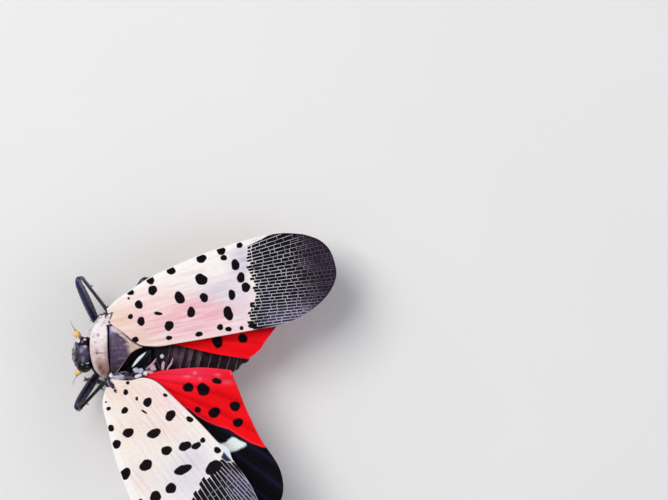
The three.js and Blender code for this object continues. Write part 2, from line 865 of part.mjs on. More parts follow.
addNode("head", head(), COLOURS.head, 0.5);
addNode("clypeus", clypeus(), COLOURS.rostrum, 0.45);
addNode("rostrum", rostrum(), COLOURS.rostrum, 0.45);
for (const [side, word] of [[1, "right"], [-1, "left"]]) {
  addNode(`eye_${word}`, eye(side), COLOURS.eye, 0.2);
  addNode(`antenna_${word}`, antenna(side), COLOURS.antenna, 0.5);
  addNode(`tegula_${word}`, tegula(side), COLOURS.tegula, 0.5);
}
addNode("pronotum", pronotum(), COLOURS.pronotum, 0.55);
addNode("mesonotum", mesonotum(), COLOURS.mesonotum, 0.5);
addNode("metanotum", metanotum(), COLOURS.metanotum, 0.2);
addNode("thorax", thorax(), COLOURS.thorax, 0.4);
addNode("abdomen", abdomen(), COLOURS.abdomen, 0.4);
addNode("abdomen_tip", abdomenTip(), COLOURS.abdomen, 0.4);

const spreadHindwingHeight = (x, y) => {
  const reach = Math.hypot(x - LEFT_HINDWING_OUTLINE.anal[0][0], y - LEFT_HINDWING_OUTLINE.anal[0][1]);
  return SPREAD_HINDWING_HEIGHT + SPREAD_HINDWING_SLOPE * reach;
};
const foldedHindwingHeight = (x, y) => roofHeight(x, y) - WING_THICKNESS - FOLD_GAP;

addNode(
  "forewing_right",
  forewing(RIGHT_FOREWING_FRAME, RIGHT_FOREWING_OUTLINE, roofHeight),
  COLOURS.forewing,
  0.6,
);
addNode(
  "forewing_left",
  forewing(LEFT_FOREWING_FRAME, LEFT_FOREWING_OUTLINE, liftedHeight),
  COLOURS.forewing,
  0.6,
);
addNode("hindwing_right", hindwing(RIGHT_HINDWING_OUTLINE, foldedHindwingHeight), COLOURS.hindwing, 0.5);
addNode("hindwing_left", hindwing(LEFT_HINDWING_OUTLINE, spreadHindwingHeight), COLOURS.hindwing, 0.5);

for (const [name, leg] of Object.entries(LEGS)) {
  addNode(`femur_${name}`, femur(leg), COLOURS.leg, 0.35);
  addNode(`tibia_${name}`, tibia(leg), COLOURS.leg, 0.35);
  addNode(`tarsus_${name}`, tarsus(leg), COLOURS.leg, 0.35);
}

export default lanternfly;
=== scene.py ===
import math

import bpy
import numpy as np
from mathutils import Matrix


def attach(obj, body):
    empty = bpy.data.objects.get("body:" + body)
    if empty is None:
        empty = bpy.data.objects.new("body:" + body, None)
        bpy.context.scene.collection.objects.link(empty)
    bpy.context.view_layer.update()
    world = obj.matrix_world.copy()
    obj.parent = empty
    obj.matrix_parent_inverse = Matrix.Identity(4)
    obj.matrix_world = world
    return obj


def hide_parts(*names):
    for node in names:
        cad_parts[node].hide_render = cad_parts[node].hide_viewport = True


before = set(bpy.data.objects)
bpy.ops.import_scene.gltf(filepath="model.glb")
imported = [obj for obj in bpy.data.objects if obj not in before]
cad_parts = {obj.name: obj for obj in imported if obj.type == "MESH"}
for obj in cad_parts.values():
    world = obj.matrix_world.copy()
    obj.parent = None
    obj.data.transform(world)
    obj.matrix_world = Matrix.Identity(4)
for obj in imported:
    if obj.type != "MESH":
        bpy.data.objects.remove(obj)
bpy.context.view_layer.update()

# Adult spotted lanternfly, life size. Places are millimetres in the plan of the CAD model, where the
# head points along -X and the insect's right side is +Y. Meshes are stored in metres.
MM = 0.001
PLAN_CENTRE = np.array([8.22, -4.53, 0.0])

# The photograph looks straight down. These tie its pixels to the plan.
PHOTO_WIDTH = 668
PHOTO_HEIGHT = 500
PHOTO_ZERO = (110, 350)
PIXELS_PER_MM = 11.3
CAMERA_DISTANCE = 500
CAMERA_SENSOR = 36
BACK_HEIGHT = 6.5

# Wings: nearly the outlines and heights of the solids, which are far thicker than these membranes.
MEMBRANE_DEPTH = 0.12
MEMBRANE_THICKNESS = 0.07
END_BLEND = 2.5
MAIN_VEINS = [0.08, 0.19, 0.31, 0.43, 0.55, 0.67, 0.79, 0.91]
FAN_VEINS = [0.1, 0.24, 0.38, 0.52, 0.66, 0.8, 0.92]
FAN_FOLDS = 7.1
# Width and rise of the forewings' lengthwise veins.
MAIN_VEIN = (0.075, 0.045)
SIDE_VEIN = (0.05, 0.015)
NET_STEP = 0.12
NET_WIDTH = 0.075
NET_RISE = 0.025
NET_ROWS = range(-14, 19)
WIDE_ROW = 0.36
ROW_SPLIT_AFTER = (3.9, 5.2)
FOREWING_REACH = 21.0
BORDER_RADIUS = 0.05

# Points along and across each skin.
FOREWING_GRID = (400, 150)
HINDWING_GRID = (230, 130)
TRUNK_GRID = (640, 128)
HEAD_GRID = (230, 168)
PRONOTUM_GRID = (220, 80)
SHOULDER_GRID = (90, 40)
MESONOTUM_GRID = (150, 110)
METANOTUM_GRID = (130, 90)
TEGULA_GRID = (50, 50)

# Plates of shell: thickness and the width over which the edge rolls down.
PRONOTUM_SHELL = (0.55, 0.16)
SHOULDER_SHELL = (0.18, 0.05)
MESONOTUM_SHELL = (1.3, 0.1)
METANOTUM_SHELL = (0.5, 0.12)
TEGULA_SHELL = (0.3, 0.06)
THINNEST_EDGE = 0.04

# Floor and lamps, in metres and watts.
FLOOR_SIZE = 6
LAMPS = {
    "key": {"place": (-0.16, 0.14, 0.3), "size": 0.22, "power": 0.93, "colour": (1.0, 0.98, 0.96)},
    "fill": {"place": (0.28, -0.1, 0.2), "size": 0.25, "power": 0.3, "colour": (0.92, 0.95, 1.0)},
}
SKY_COLOUR = (0.86, 0.9, 1.0, 1)
SKY_STRENGTH = 0.36


def srgb(red, green, blue):
    """Linear colour of an 8-bit one."""
    part = np.array([red, green, blue]) / 255
    return np.where(part <= 0.04045, part / 12.92, ((part + 0.055) / 1.055) ** 2.4)


def from_photo(x, y):
    """Plan point of a pixel of the photograph."""
    return np.array([(x - PHOTO_ZERO[0]) / PIXELS_PER_MM, (PHOTO_ZERO[1] - y) / PIXELS_PER_MM])


def photo_line(points):
    """Plan points of several pixels."""
    return np.array([from_photo(*point) for point in points])


def ease(x, low, high):
    """Smooth step from 0 at low to 1 at high."""
    t = np.clip((x - low) / (high - low), 0, 1)
    return t * t * (3 - 2 * t)


def peak(x, place, width):
    """Smooth bump of height 1 at place."""
    return np.exp(-(((x - place) / width) ** 2))


def blend(colours, other, weight):
    return colours + (other - colours) * np.asarray(weight)[..., None]


def painted(tint, coats):
    """A tint under coats of colour and strength, laid on one after another."""
    for colour, strength in coats:
        tint = blend(tint, colour, strength)
    return tint


def plain(colour, points):
    """The same colour for every point."""
    return np.broadcast_to(colour, (*points.shape[:-1], 3))


def ripple(points, size, seed):
    """Smooth random field of about -1 to 1 whose features have the given size."""
    draw = np.random.default_rng(seed)
    total = np.zeros(points.shape[:-1])
    for _ in range(8):
        direction = draw.normal(size=3)
        direction *= draw.uniform(0.6, 1.5) * 2 * math.pi / size / np.linalg.norm(direction)
        total += np.sin(points @ direction + draw.uniform(0, 2 * math.pi))
    return total / 4


def smooth_line(points):
    """Curve through points as a function of a share from 0 to 1, in any number of dimensions."""
    points = np.asarray(points, float)
    last = len(points) - 1

    def at(share):
        place = np.clip(share, 0, 1) * last
        i = np.minimum(np.asarray(place).astype(int), last - 1)
        t = (place - i)[..., None]
        before, start, end = points[np.maximum(i - 1, 0)], points[i], points[i + 1]
        after = points[np.minimum(i + 2, last)]
        leave, arrive = (end - before) / 2, (after - start) / 2
        cubic = 2 * start - 2 * end + leave + arrive
        square = 3 * end - 3 * start - 2 * leave - arrive
        return cubic * t**3 + square * t**2 + leave * t + start

    return at


class Shape:
    """Points, faces and named values on the points that grow into one mesh."""

    def __init__(self):
        self.points = []
        self.faces = []
        self.values = {}
        self.count = 0

    def add(self, points, faces, **values):
        """Colours have three numbers to a point, and other values have one."""
        points = np.asarray(points, float).reshape(-1, 3)
        self.points.append(points)
        self.faces += [[i + self.count for i in face] for face in faces]
        for key, value in values.items():
            value = np.asarray(value, float)
            colour = value.ndim > 0 and value.shape[-1] == 3
            full = np.broadcast_to(value, (len(points), 3) if colour else (len(points),))
            self.values.setdefault(key, []).append(full)
        self.count += len(points)
        return self


def faces_out(points, faces):
    """The faces, all turned round if they enclose a negative volume."""
    volume = 0.0
    for size in (3, 4):
        part = np.array([f for f in faces if len(f) == size])
        for k in range(1, size - 1):
            if len(part):
                a, b, c = (points[part[:, i]] for i in (0, k, k + 1))
                volume += np.einsum("ij,ij->", a, np.cross(b, c))
    return faces if volume > 0 else [f[::-1] for f in faces]


def make_piece(name, shape, material, nodes=(), sharp=None):
    """Blender object of a shape that rides on the body and stands for the CAD nodes."""
    points = np.concatenate(shape.points)
    mesh = bpy.data.meshes.new(name)
    mesh.from_pydata(((points - PLAN_CENTRE) * MM).tolist(), [], shape.faces)
    mesh.polygons.foreach_set("use_smooth", [True] * len(mesh.polygons))
    if sharp:
        mesh.set_sharp_from_angle(angle=math.radians(sharp))
    for key, parts in shape.values.items():
        value = np.concatenate(parts)
        if value.ndim == 2:
            layer = mesh.attributes.new(key, "FLOAT_COLOR", "POINT")
            layer.data.foreach_set("color", np.column_stack([value, np.ones(len(value))]).ravel())
        else:
            mesh.attributes.new(key, "FLOAT", "POINT").data.foreach_set("value", value)
    mesh.materials.append(material)
    made = bpy.data.objects.new(name, mesh)
    bpy.context.scene.collection.objects.link(made)
    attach(made, "root")
    if nodes:
        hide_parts(*nodes)


def grid_faces(rows, columns, closed=False):
    """Quads over a grid of points, closed into a ring across the columns if asked."""
    r, c = np.meshgrid(np.arange(rows - 1), np.arange(columns - (not closed)), indexing="ij")
    a = r * columns + c
    b = r * columns + (c + 1) % columns
    return np.stack([a, b, b + columns, a + columns], -1).reshape(-1, 4).tolist()


def lofted(rings):
    """Points and outward faces of a closed skin over rings of points."""
    rows, columns = rings.shape[:2]
    ends = np.stack([rings[0].mean(0), rings[-1].mean(0)])
    points = np.concatenate([rings.reshape(-1, 3), ends])
    faces = grid_faces(rows, columns, closed=True)
    for end, row in ((rows * columns, 0), (rows * columns + 1, rows - 1)):
        for c in range(columns):
            pair = [row * columns + c, row * columns + (c + 1) % columns]
            faces.append([end, *(pair[::-1] if row == 0 else pair)])
    return points, faces_out(points, faces)


def frames_along(path):
    """Tangents and two steady side directions along a path of points."""
    tangents = np.gradient(path, axis=0)
    tangents /= np.linalg.norm(tangents, axis=1)[:, None]
    side = np.cross(tangents[0], [0, 0, 1] if abs(tangents[0][2]) < 0.9 else [0, 1, 0])
    sides = []
    for tangent in tangents:
        side = side - tangent * (side @ tangent)
        side = side / np.linalg.norm(side)
        sides.append(side)
    sides = np.array(sides)
    return tangents, sides, np.cross(tangents, sides)


def tube(path, radii, sides=12, section=None):
    """Closed tube along a path. The section scales the radius round it by angle."""
    path = np.asarray(path, float)
    radii = np.broadcast_to(radii, len(path))
    _, across, upward = frames_along(path)
    angle = np.arange(sides) * 2 * math.pi / sides
    reach = radii[:, None] * (section(angle) if section else 1)
    rings = (
        path[:, None]
        + across[:, None] * (np.cos(angle) * reach)[..., None]
        + upward[:, None] * (np.sin(angle) * reach)[..., None]
    )
    return lofted(rings)


def even_steps(path, step):
    """Points at even distances along a path of points."""
    length = np.concatenate([[0], np.cumsum(np.linalg.norm(np.diff(path, axis=0), axis=1))])
    places = np.linspace(0, length[-1], max(3, int(length[-1] / step) + 1))
    return np.column_stack([np.interp(places, length, path[:, i]) for i in range(path.shape[1])])


class Nodes:
    """Short calls that lay out one material's nodes."""

    def __init__(self, name):
        self.material = bpy.data.materials.new(name)
        self.material.use_nodes = True
        self.tree = self.material.node_tree
        self.shader = self.tree.nodes["Principled BSDF"]
        self.place = self.add("ShaderNodeTexCoord").outputs["Object"]

    def add(self, kind, **settings):
        node = self.tree.nodes.new(kind)
        for key, value in settings.items():
            setattr(node, key, value)
        return node

    def put(self, socket, value):
        if isinstance(value, bpy.types.NodeSocket):
            self.tree.links.new(value, socket)
        else:
            socket.default_value = value

    def attribute(self, name, output="Fac"):
        return self.add("ShaderNodeAttribute", attribute_name=name).outputs[output]

    def noise(self, per_mm, detail=3, rough=0.55, stretch=(1, 1, 1)):
        """Noise of 0 to 1 with so many features to the millimetre."""
        scaled = self.add("ShaderNodeMapping")
        self.put(scaled.inputs["Vector"], self.place)
        scaled.inputs["Scale"].default_value = [s * per_mm / MM for s in stretch]
        node = self.add("ShaderNodeTexNoise")
        self.put(node.inputs["Vector"], scaled.outputs[0])
        node.inputs["Scale"].default_value = 1
        node.inputs["Detail"].default_value = detail
        node.inputs["Roughness"].default_value = rough
        return node.outputs["Fac"]

    def cells(self, per_mm):
        """Distance from the middle of rounded cells."""
        node = self.add("ShaderNodeTexVoronoi")
        self.put(node.inputs["Vector"], self.place)
        node.inputs["Scale"].default_value = per_mm / MM
        return node.outputs["Distance"]

    def span(self, value, low, high, to_low=0.0, to_high=1.0, smooth=False):
        node = self.add("ShaderNodeMapRange", interpolation_type="SMOOTHSTEP" if smooth else "LINEAR")
        for socket, given in zip(node.inputs[:5], (value, low, high, to_low, to_high)):
            self.put(socket, given)
        return node.outputs[0]

    def mix(self, factor, a, b, blend_type="MIX"):
        node = self.add("ShaderNodeMix", data_type="RGBA", blend_type=blend_type)
        self.put(node.inputs[0], factor)
        for socket, value in ((node.inputs[6], a), (node.inputs[7], b)):
            self.put(socket, value if isinstance(value, bpy.types.NodeSocket) else (*value, 1))
        return node.outputs[2]

    def shade(self, colour, amount, noise):
        """The colour, darkened and lightened by a noise around its own value."""
        grey = self.add("ShaderNodeCombineColor")
        level = self.span(noise, 0.25, 0.75, 1 - amount, 1 + amount)
        for socket in grey.inputs:
            self.put(socket, level)
        return self.mix(1.0, colour, grey.outputs[0], "MULTIPLY")

    def bump(self, height, depth_mm, below=None):
        node = self.add("ShaderNodeBump")
        node.inputs["Strength"].default_value = 1
        node.inputs["Distance"].default_value = depth_mm * MM
        self.put(node.inputs["Height"], height)
        if below is not None:
            self.put(node.inputs["Normal"], below)
        return node.outputs[0]

    def finish(self, colour, roughness, normal=None, **fixed):
        self.put(self.shader.inputs["Base Color"], colour)
        self.put(self.shader.inputs["Roughness"], roughness)
        if normal is not None:
            self.put(self.shader.inputs["Normal"], normal)
        for key, value in fixed.items():
            self.shader.inputs[key.replace("_", " ")].default_value = value
        return self.material


# Materials


def cuticle(name, rough=(0.3, 0.45), mottle=0.25, grain=0.012, pits=0.0, gloss=0.0, shine=0.4):
    """Insect shell: its own tint, mottled, with fine wrinkles and pits."""
    made = Nodes(name)
    broad = made.noise(2.2, detail=4)
    fine = made.noise(14, detail=3)
    colour = made.shade(made.attribute("tint", "Color"), mottle, broad)
    colour = made.shade(colour, mottle * 0.5, fine)
    normal = made.bump(fine, grain)
    if pits:
        normal = made.bump(made.span(made.cells(7), 0.0, 0.35, 0, 1, smooth=True), pits, normal)
    rough = made.span(broad, 0.3, 0.7, *rough)
    coat = {"Coat_Weight": gloss, "Coat_Roughness": 0.12}
    return made.finish(colour, rough, normal, Specular_IOR_Level=shine, **coat)


def compound_eye():
    """Domed facets in a dark eye with faint bands."""
    made = Nodes("compound_eye")
    facets = made.cells(26)
    colour = made.shade(made.attribute("tint", "Color"), 0.4, made.noise(3))
    normal = made.bump(made.span(facets, 0.0, 0.6, 1, 0, smooth=True), 0.001)
    rough = made.span(facets, 0, 0.6, 0.12, 0.2)
    return made.finish(colour, rough, normal, Coat_Weight=0.35, Coat_Roughness=0.05, Specular_IOR_Level=0.15)


def waxy(name):
    """Powdery wax over soft skin."""
    made = Nodes(name)
    powder = made.noise(18, detail=5, rough=0.7)
    colour = made.shade(made.attribute("tint", "Color"), 0.18, powder)
    normal = made.bump(powder, 0.02)
    return made.finish(colour, made.span(powder, 0.3, 0.7, 0.5, 0.75), normal, Sheen_Weight=0.15)


def spotted_wing(name, spot_colour, edge=0.035):
    """Leathery membrane with crisp spots and a dark net field towards the tip."""
    made = Nodes(name)
    fibres = made.noise(5, detail=4, stretch=(0.45, 1, 1))
    fine = made.noise(22, detail=2)
    colour = made.shade(made.attribute("tint", "Color"), 0.05, fibres)
    dark = made.shade(made.attribute("dark", "Color"), 0.3, fine)
    spot = made.span(made.attribute("spot"), edge, -edge, smooth=True)
    net = made.span(made.attribute("net"), -0.04, 0.04, smooth=True)
    colour = made.mix(net, colour, dark)
    colour = made.mix(spot, colour, spot_colour)
    normal = made.bump(fibres, 0.01, made.bump(fine, 0.006))
    return made.finish(colour, made.span(fine, 0.3, 0.7, 0.5, 0.62), normal, Specular_IOR_Level=0.05)


def vein_skin(name):
    """Fine raised wing veins."""
    made = Nodes(name)
    fine = made.noise(16, detail=2)
    colour = made.shade(made.attribute("tint", "Color"), 0.12, fine)
    rough = made.span(fine, 0.3, 0.7, 0.5, 0.62)
    return made.finish(colour, rough, made.bump(fine, 0.006), Specular_IOR_Level=0.15)


def pale_floor():
    made = Nodes("pale_floor")
    soft = made.noise(0.05, detail=2)
    colour = made.mix(soft, srgb(238, 237, 234), srgb(243, 242, 240))
    return made.finish(colour, made.span(soft, 0.3, 0.7, 0.75, 0.85))


# Wing surfaces


def four_sided(costa, margin, anal):
    """Plan points of a wing by its share from root to tip and from costa to anal edge."""
    front, outer, rear = smooth_line(costa), smooth_line(margin), smooth_line(anal)
    tip_front, tip_rear = np.array(costa[-1], float), np.array(anal[-1], float)

    def at(u, v):
        u, v = np.broadcast_arrays(np.asarray(u, float), np.asarray(v, float))
        across = front(u) + (rear(u) - front(u)) * v[..., None]
        straight_end = tip_front + (tip_rear - tip_front) * v[..., None]
        return across + (outer(v) - straight_end) * (u**END_BLEND)[..., None]

    return at


class WingFrame:
    """A forewing's hinge in plan: s runs from it to the tip and w towards the costa."""

    def __init__(self, base, angle, side):
        self.base = np.array(base)
        self.along = np.array([math.cos(math.radians(angle)), math.sin(math.radians(angle))])
        self.towards_costa = side * np.array([-self.along[1], self.along[0]])

    def plan(self, s, w):
        s, w = np.asarray(s, float)[..., None], np.asarray(w, float)[..., None]
        return self.base + s * self.along + w * self.towards_costa

    def place(self, plan):
        offset = plan - self.base
        return offset @ self.along, offset @ self.towards_costa


RIGHT = WingFrame([-0.44, 2.21], 13.4, 1)
LEFT = WingFrame([-0.18, -3.19], -48.65, -1)

RIGHT_FOREWING = {
    "costa": [(0.45, 1.3), (1.6, 1.95), (2.9, 2.46), (4.82, 3.15), (6.98, 3.62), (9.53, 4.05),
              (12.5, 4.34), (15.2, 4.41), (17.2, 4.22), (18.9, 3.72)],
    "margin": [(18.9, 3.72), (20.1, 2.95), (20.8, 1.95), (21.0, 0.75), (20.9, -0.4), (20.3, -1.4),
               (19.4, -2.2), (18.2, -2.88)],
    "anal": [(0.5, 0.1), (1.37, -1.0), (2.5, -2.35), (3.9, -2.86), (6.0, -3.02), (9.0, -3.22),
             (12.2, -3.4), (15.0, -3.56), (16.7, -3.38), (18.2, -2.88)],
}
LEFT_FOREWING = {
    "costa": [(0.0, 0.15), (0.36, 0.74), (0.74, 1.22), (1.3, 1.66), (2.24, 2.12), (3.4, 2.73), (5.0, 3.55),
              (7.02, 4.35), (9.2, 5.05), (12.0, 5.35), (14.6, 5.2), (16.4, 4.75), (17.7, 4.15)],
    "margin": [(17.7, 4.15), (18.8, 3.3), (19.5, 2.2), (19.75, 0.8), (19.5, -0.6), (18.8, -1.8),
               (17.6, -2.8)],
    "anal": [(-0.3, -0.6), (0.82, -1.73), (1.6, -2.95), (2.8, -3.58), (4.9, -3.75), (7.4, -3.98),
             (9.9, -4.08), (12.8, -4.05), (14.8, -3.85), (16.4, -3.4), (17.6, -2.8)],
}
RIGHT_HINDWING = {
    "costa": [(3.0, 2.4), (6.0, 4.6), (10.0, 6.8), (13.6, 7.75)],
    "margin": [(13.6, 7.75), (15.6, 7.9), (16.8, 7.0), (16.8, 5.6), (15.9, 3.9), (14.9, 2.4),
               (13.91, 1.03), (13.1, -0.1), (12.15, -0.8)],
    "anal": [(3.4, 1.0), (6.87, 0.22), (9.37, -0.36), (12.15, -0.8)],
}
LEFT_HINDWING = {
    "costa": [(2.6, -3.3), (4.6, -6.2), (7.4, -9.6), (10.6, -12.6)],
    "margin": [(10.6, -12.6), (12.9, -13.9), (14.7, -13.7), (15.3, -12.3), (14.9, -10.3),
               (13.4, -8.0), (12.21, -5.63), (11.35, -3.5), (10.67, -1.77)],
    "anal": [(3.25, -2.15), (4.87, -1.8), (8.0, -1.55), (10.67, -1.77)],
}


def roof_height(plan):
    """The right forewing lies as a low roof, its ridge at the inner edge."""
    s, w = RIGHT.place(plan)
    down = np.maximum(0, w + 3.2)
    return 7.0 + 0.075 * s - 0.004 * s * s - 0.12 * down - 0.028 * down * down


def lifted_height(plan):
    """The left forewing is raised clear of the hindwing."""
    s, w = LEFT.place(plan)
    return 6.45 + math.tan(math.radians(20)) * s - 0.018 * w * w - 0.05 * w


def folded_height(plan):
    return roof_height(plan) - 0.95


def spread_height(plan):
    return 6.0 + 0.1 * np.linalg.norm(plan - np.array(LEFT_HINDWING["anal"][0]), axis=-1)


def in_plan(wing_frame, outline):
    """A forewing's outline in plan."""
    return {edge: wing_frame.plan(*np.array(points).T) for edge, points in outline.items()}


def rim_of(patch, steps=160):
    """Closed plan line round a wing."""
    t = np.linspace(0, 1, steps)
    runs = [patch(t, 0 * t), patch(0 * t + 1, t), patch(t[::-1], 0 * t + 1), patch(0 * t, t[::-1])]
    return np.concatenate([run[:-1] for run in runs])


def inside(plan, rim):
    """Which plan points lie within a closed line."""
    x, y = plan[..., 0], plan[..., 1]
    odd = np.zeros(x.shape, bool)
    for (ax, ay), (bx, by) in zip(rim, np.roll(rim, -1, axis=0)):
        if ay != by:
            crosses = ((ay > y) != (by > y)) & (x < (bx - ax) * (y - ay) / (by - ay) + ax)
            odd ^= crosses
    return odd


# Wing markings. Each spot is its middle in the photograph, its two radii in pixels and its turn.
RIGHT_SPOTS = [
    (130, 292.3, 3.6, 3.2, 0), (128.4, 298.4, 1.4, 1.2, 20), (149.9, 280.4, 4.3, 4, 0),
    (152.3, 290.3, 5, 4.5, 30), (138.6, 304.7, 4.4, 4, -30), (158.1, 313.5, 4.4, 1.8, -5),
    (130.4, 316.6, 2.7, 2.6, 0), (141.1, 321.3, 4, 4.4, 0), (135.3, 339.7, 3.6, 3.1, 0),
    (170.5, 270.5, 4.7, 4.2, 0), (201.1, 258.8, 5.4, 4, 8), (201.1, 279.4, 6.2, 5.7, -30),
    (179.5, 297.8, 5, 6.2, 25), (204, 297.6, 4.2, 4.8, 10), (191.2, 312.2, 4.1, 5.5, 8),
    (169.2, 325.7, 4.6, 5.1, 0), (169.2, 337.8, 3.5, 2.2, 10), (199.2, 334, 3.6, 2.7, 8),
    (220.7, 250.7, 4.6, 4.2, 15), (223.5, 257.8, 3.2, 3.1, 0), (239.2, 245.2, 3, 3.2, 10),
    (235.2, 264.9, 4.4, 5.4, 12), (240.8, 277.6, 4.2, 5.1, -10), (245.8, 287.3, 4.2, 5.4, 12),
    (231.9, 294.8, 3.7, 5.1, 10), (228.3, 313.3, 4.8, 7.1, 12), (220.3, 327.1, 3.4, 3, -20),
    (228.7, 329, 3.4, 2.5, 5), (241.7, 328, 2.1, 2.1, 0), (252.8, 325.7, 4.6, 2.7, 8),
    (251.8, 305.3, 1.8, 2.2, 0), (256.6, 308.6, 2.0, 1.6, 0),
]
LEFT_SPOTS = [
    (127.8, 382.8, 2, 1.7, 0), (125.9, 392.1, 2.6, 2.9, -25), (137.1, 398.4, 1.6, 1.9, 0),
    (148, 401.9, 4.9, 4.2, 35), (165.7, 394.8, 2.3, 1.8, -20), (144.6, 411.3, 3.4, 1.1, -30),
    (125.1, 410.2, 4, 3, 30), (108.7, 408.5, 2.6, 1.9, 30), (106, 402, 1.2, 0.9, 0),
    (171, 414.9, 5.9, 4.6, 40), (190.4, 418.5, 3.6, 2.9, -25), (111.2, 427.9, 3.6, 3.3, 0),
    (128.8, 432.3, 6.3, 4.3, 20), (154.7, 432.7, 7.7, 4.3, 18), (117.2, 443.7, 4.6, 4.2, 20),
    (167.4, 449.5, 5.6, 4.5, 35), (185.8, 445, 6.4, 4.6, 28), (197.1, 444.6, 5.3, 3.2, 20),
    (203.6, 439, 2.9, 2.6, 0), (218.2, 448.7, 4, 3, -20), (146.9, 464.2, 7.4, 5, 28),
    (183.7, 468.2, 10.2, 4.3, 20), (125.9, 473.2, 6.4, 5.2, 50), (172.1, 486.6, 6.2, 4.8, 35),
    (156.7, 495, 6.2, 5.2, 30), (141.6, 499.3, 2.2, 2, 0), (214.5, 465.8, 8.6, 6.2, 48),
    (150, 512, 5.5, 4.4, 30), (171, 512, 4.6, 4, 20),
]
LEFT_HIND_SPOTS = [
    (188.2, 387.5, 5.2, 5, 0), (203.2, 389.5, 6, 7, 10), (216.8, 381, 5, 3, -8),
    (197.8, 409.8, 3.3, 3.1, 0), (214.3, 412.6, 6.2, 5.2, 15), (235, 406.2, 5.1, 5.3, 0),
    (238, 422.5, 5.3, 4.6, 0),
]
RIGHT_HIND_SPOTS = [
    (217.4, 341.4, 5.4, 6.5, 0), (242.7, 338.4, 4.6, 5, 0), (205, 312, 4, 4, 0),
    (228, 316, 5, 4.5, 0), (252, 318, 4.4, 4.4, 0), (236, 296, 4, 4, 0),
]
# Pale and slate areas at the left forewing's rear edge: corners in the photograph and colour.
LEFT_MARKS = [
    ([(217, 441), (221, 445.5), (224.5, 449.5), (228, 454), (232, 459), (238, 462), (240, 440), (225, 436)],
     srgb(222, 234, 244)),
    ([(224.6, 450), (222, 455.5), (224.2, 459.8), (231.6, 460.4), (232.4, 458.6), (228, 454)],
     srgb(40, 48, 72)),
]


class NetRows:
    """Rows of a forewing's net: where they begin, as (w, s), and how they lie and lean at one s."""

    SETTLING_STEPS = 12

    def __init__(self, start, middle, rows, slopes, crossing):
        self.start = np.array(start)
        self.middle = middle
        self.rows = np.array(rows)
        self.slopes = np.array(slopes)
        self.crossing = crossing

    def slope(self, w):
        return np.interp(w, self.slopes[:, 0], self.slopes[:, 1])

    def line(self, row, s):
        """How far towards the costa a row lies at each place along the wing."""
        w = np.interp(row, self.rows[:, 0], self.rows[:, 1])
        return w - self.slope(w) * (s - self.middle)

    def number(self, s, w):
        """Which row a point is in, as a number that grows towards the costa."""
        ahead = np.clip(s - self.middle, -1.5, 7)
        at_start = w
        for _ in range(self.SETTLING_STEPS):
            at_start = at_start + 0.5 * (w + self.slope(at_start) * ahead - at_start)
        return np.interp(at_start, self.rows[:, 1], self.rows[:, 0])

    def begins(self, w, rows, seed):
        """How far along the wing the net begins, uneven from row to row."""
        ragged = np.random.default_rng(seed).uniform(-0.22, 0.22, 200)
        even = np.interp(w, self.start[:, 0], self.start[:, 1])
        return even + ragged[np.floor(rows).astype(int) + 100]


RIGHT_NET = NetRows(
    [(-3.2, 12.6), (-2.2, 12.4), (-1.3, 13.0), (-0.3, 13.6), (1.5, 13.55), (3.2, 13.5), (3.85, 13.7),
     (4.05, 14.6), (4.2, 15.3), (4.45, 16.1), (5.0, 16.6)],
    13.6,
    [(-18, -4.896), (22, 5.984)],
    [(-5, 0.0), (-4, 0.063), (-2.6, 0.124), (-1.2, 0.145), (0.2, 0.124), (1.6, 0.063), (3.0, -0.04),
     (4.4, -0.184), (6.0, -0.4)],
    1.0,
)
LEFT_NET = NetRows(
    [(-4.1, 12.3), (-3.3, 11.55), (-2.6, 11.7), (-1.35, 11.7), (1.2, 12.25), (3.2, 12.6), (5.2, 12.9)],
    12.6,
    [(-16, -4.9), (-11, -3.57), (-8, -2.69), (-6, -2.0), (-4, -1.18), (-2, -0.34), (0, 0.58), (22, 10.5)],
    [(-4, 0.0), (-3.2, 0.04), (-2.7, 0.04), (-2.1, -0.1), (-1.4, -0.09), (-0.5, -0.13), (6, -0.13)],
    0.45,
)


def spot_distance(plan, spots, seed):
    """Distance to the nearest spot's edge, below 0 inside, with slightly uneven outlines."""
    draw = np.random.default_rng(seed)
    nearest = np.full(plan.shape[:-1], 9.0)
    for x, y, wide, high, turn in spots:
        offset = plan - from_photo(x, y)
        turned = math.radians(turn)
        along = offset[..., 0] * math.cos(turned) + offset[..., 1] * math.sin(turned)
        across = offset[..., 1] * math.cos(turned) - offset[..., 0] * math.sin(turned)
        angle = np.arctan2(across, along)
        uneven = 1.0
        for waves in (2, 3, 5):
            uneven = uneven + 0.13 / waves * np.sin(waves * angle + draw.uniform(0, 2 * math.pi))
        reach = np.hypot(along / wide, across / high) * PIXELS_PER_MM / uneven
        nearest = np.minimum(nearest, (reach - 1) * min(wide, high) / PIXELS_PER_MM)
    return nearest


def washed(plan, base, washes):
    """A base colour with soft patches laid over it: photo place, reach in mm, colour, strength."""
    colours = np.broadcast_to(base, (*plan.shape[:-1], 3))
    for place, reach, colour, strength in washes:
        far = np.linalg.norm((plan - from_photo(*place)) / np.array(reach), axis=-1)
        colours = blend(colours, colour, strength * np.exp(-far * far))
    return colours


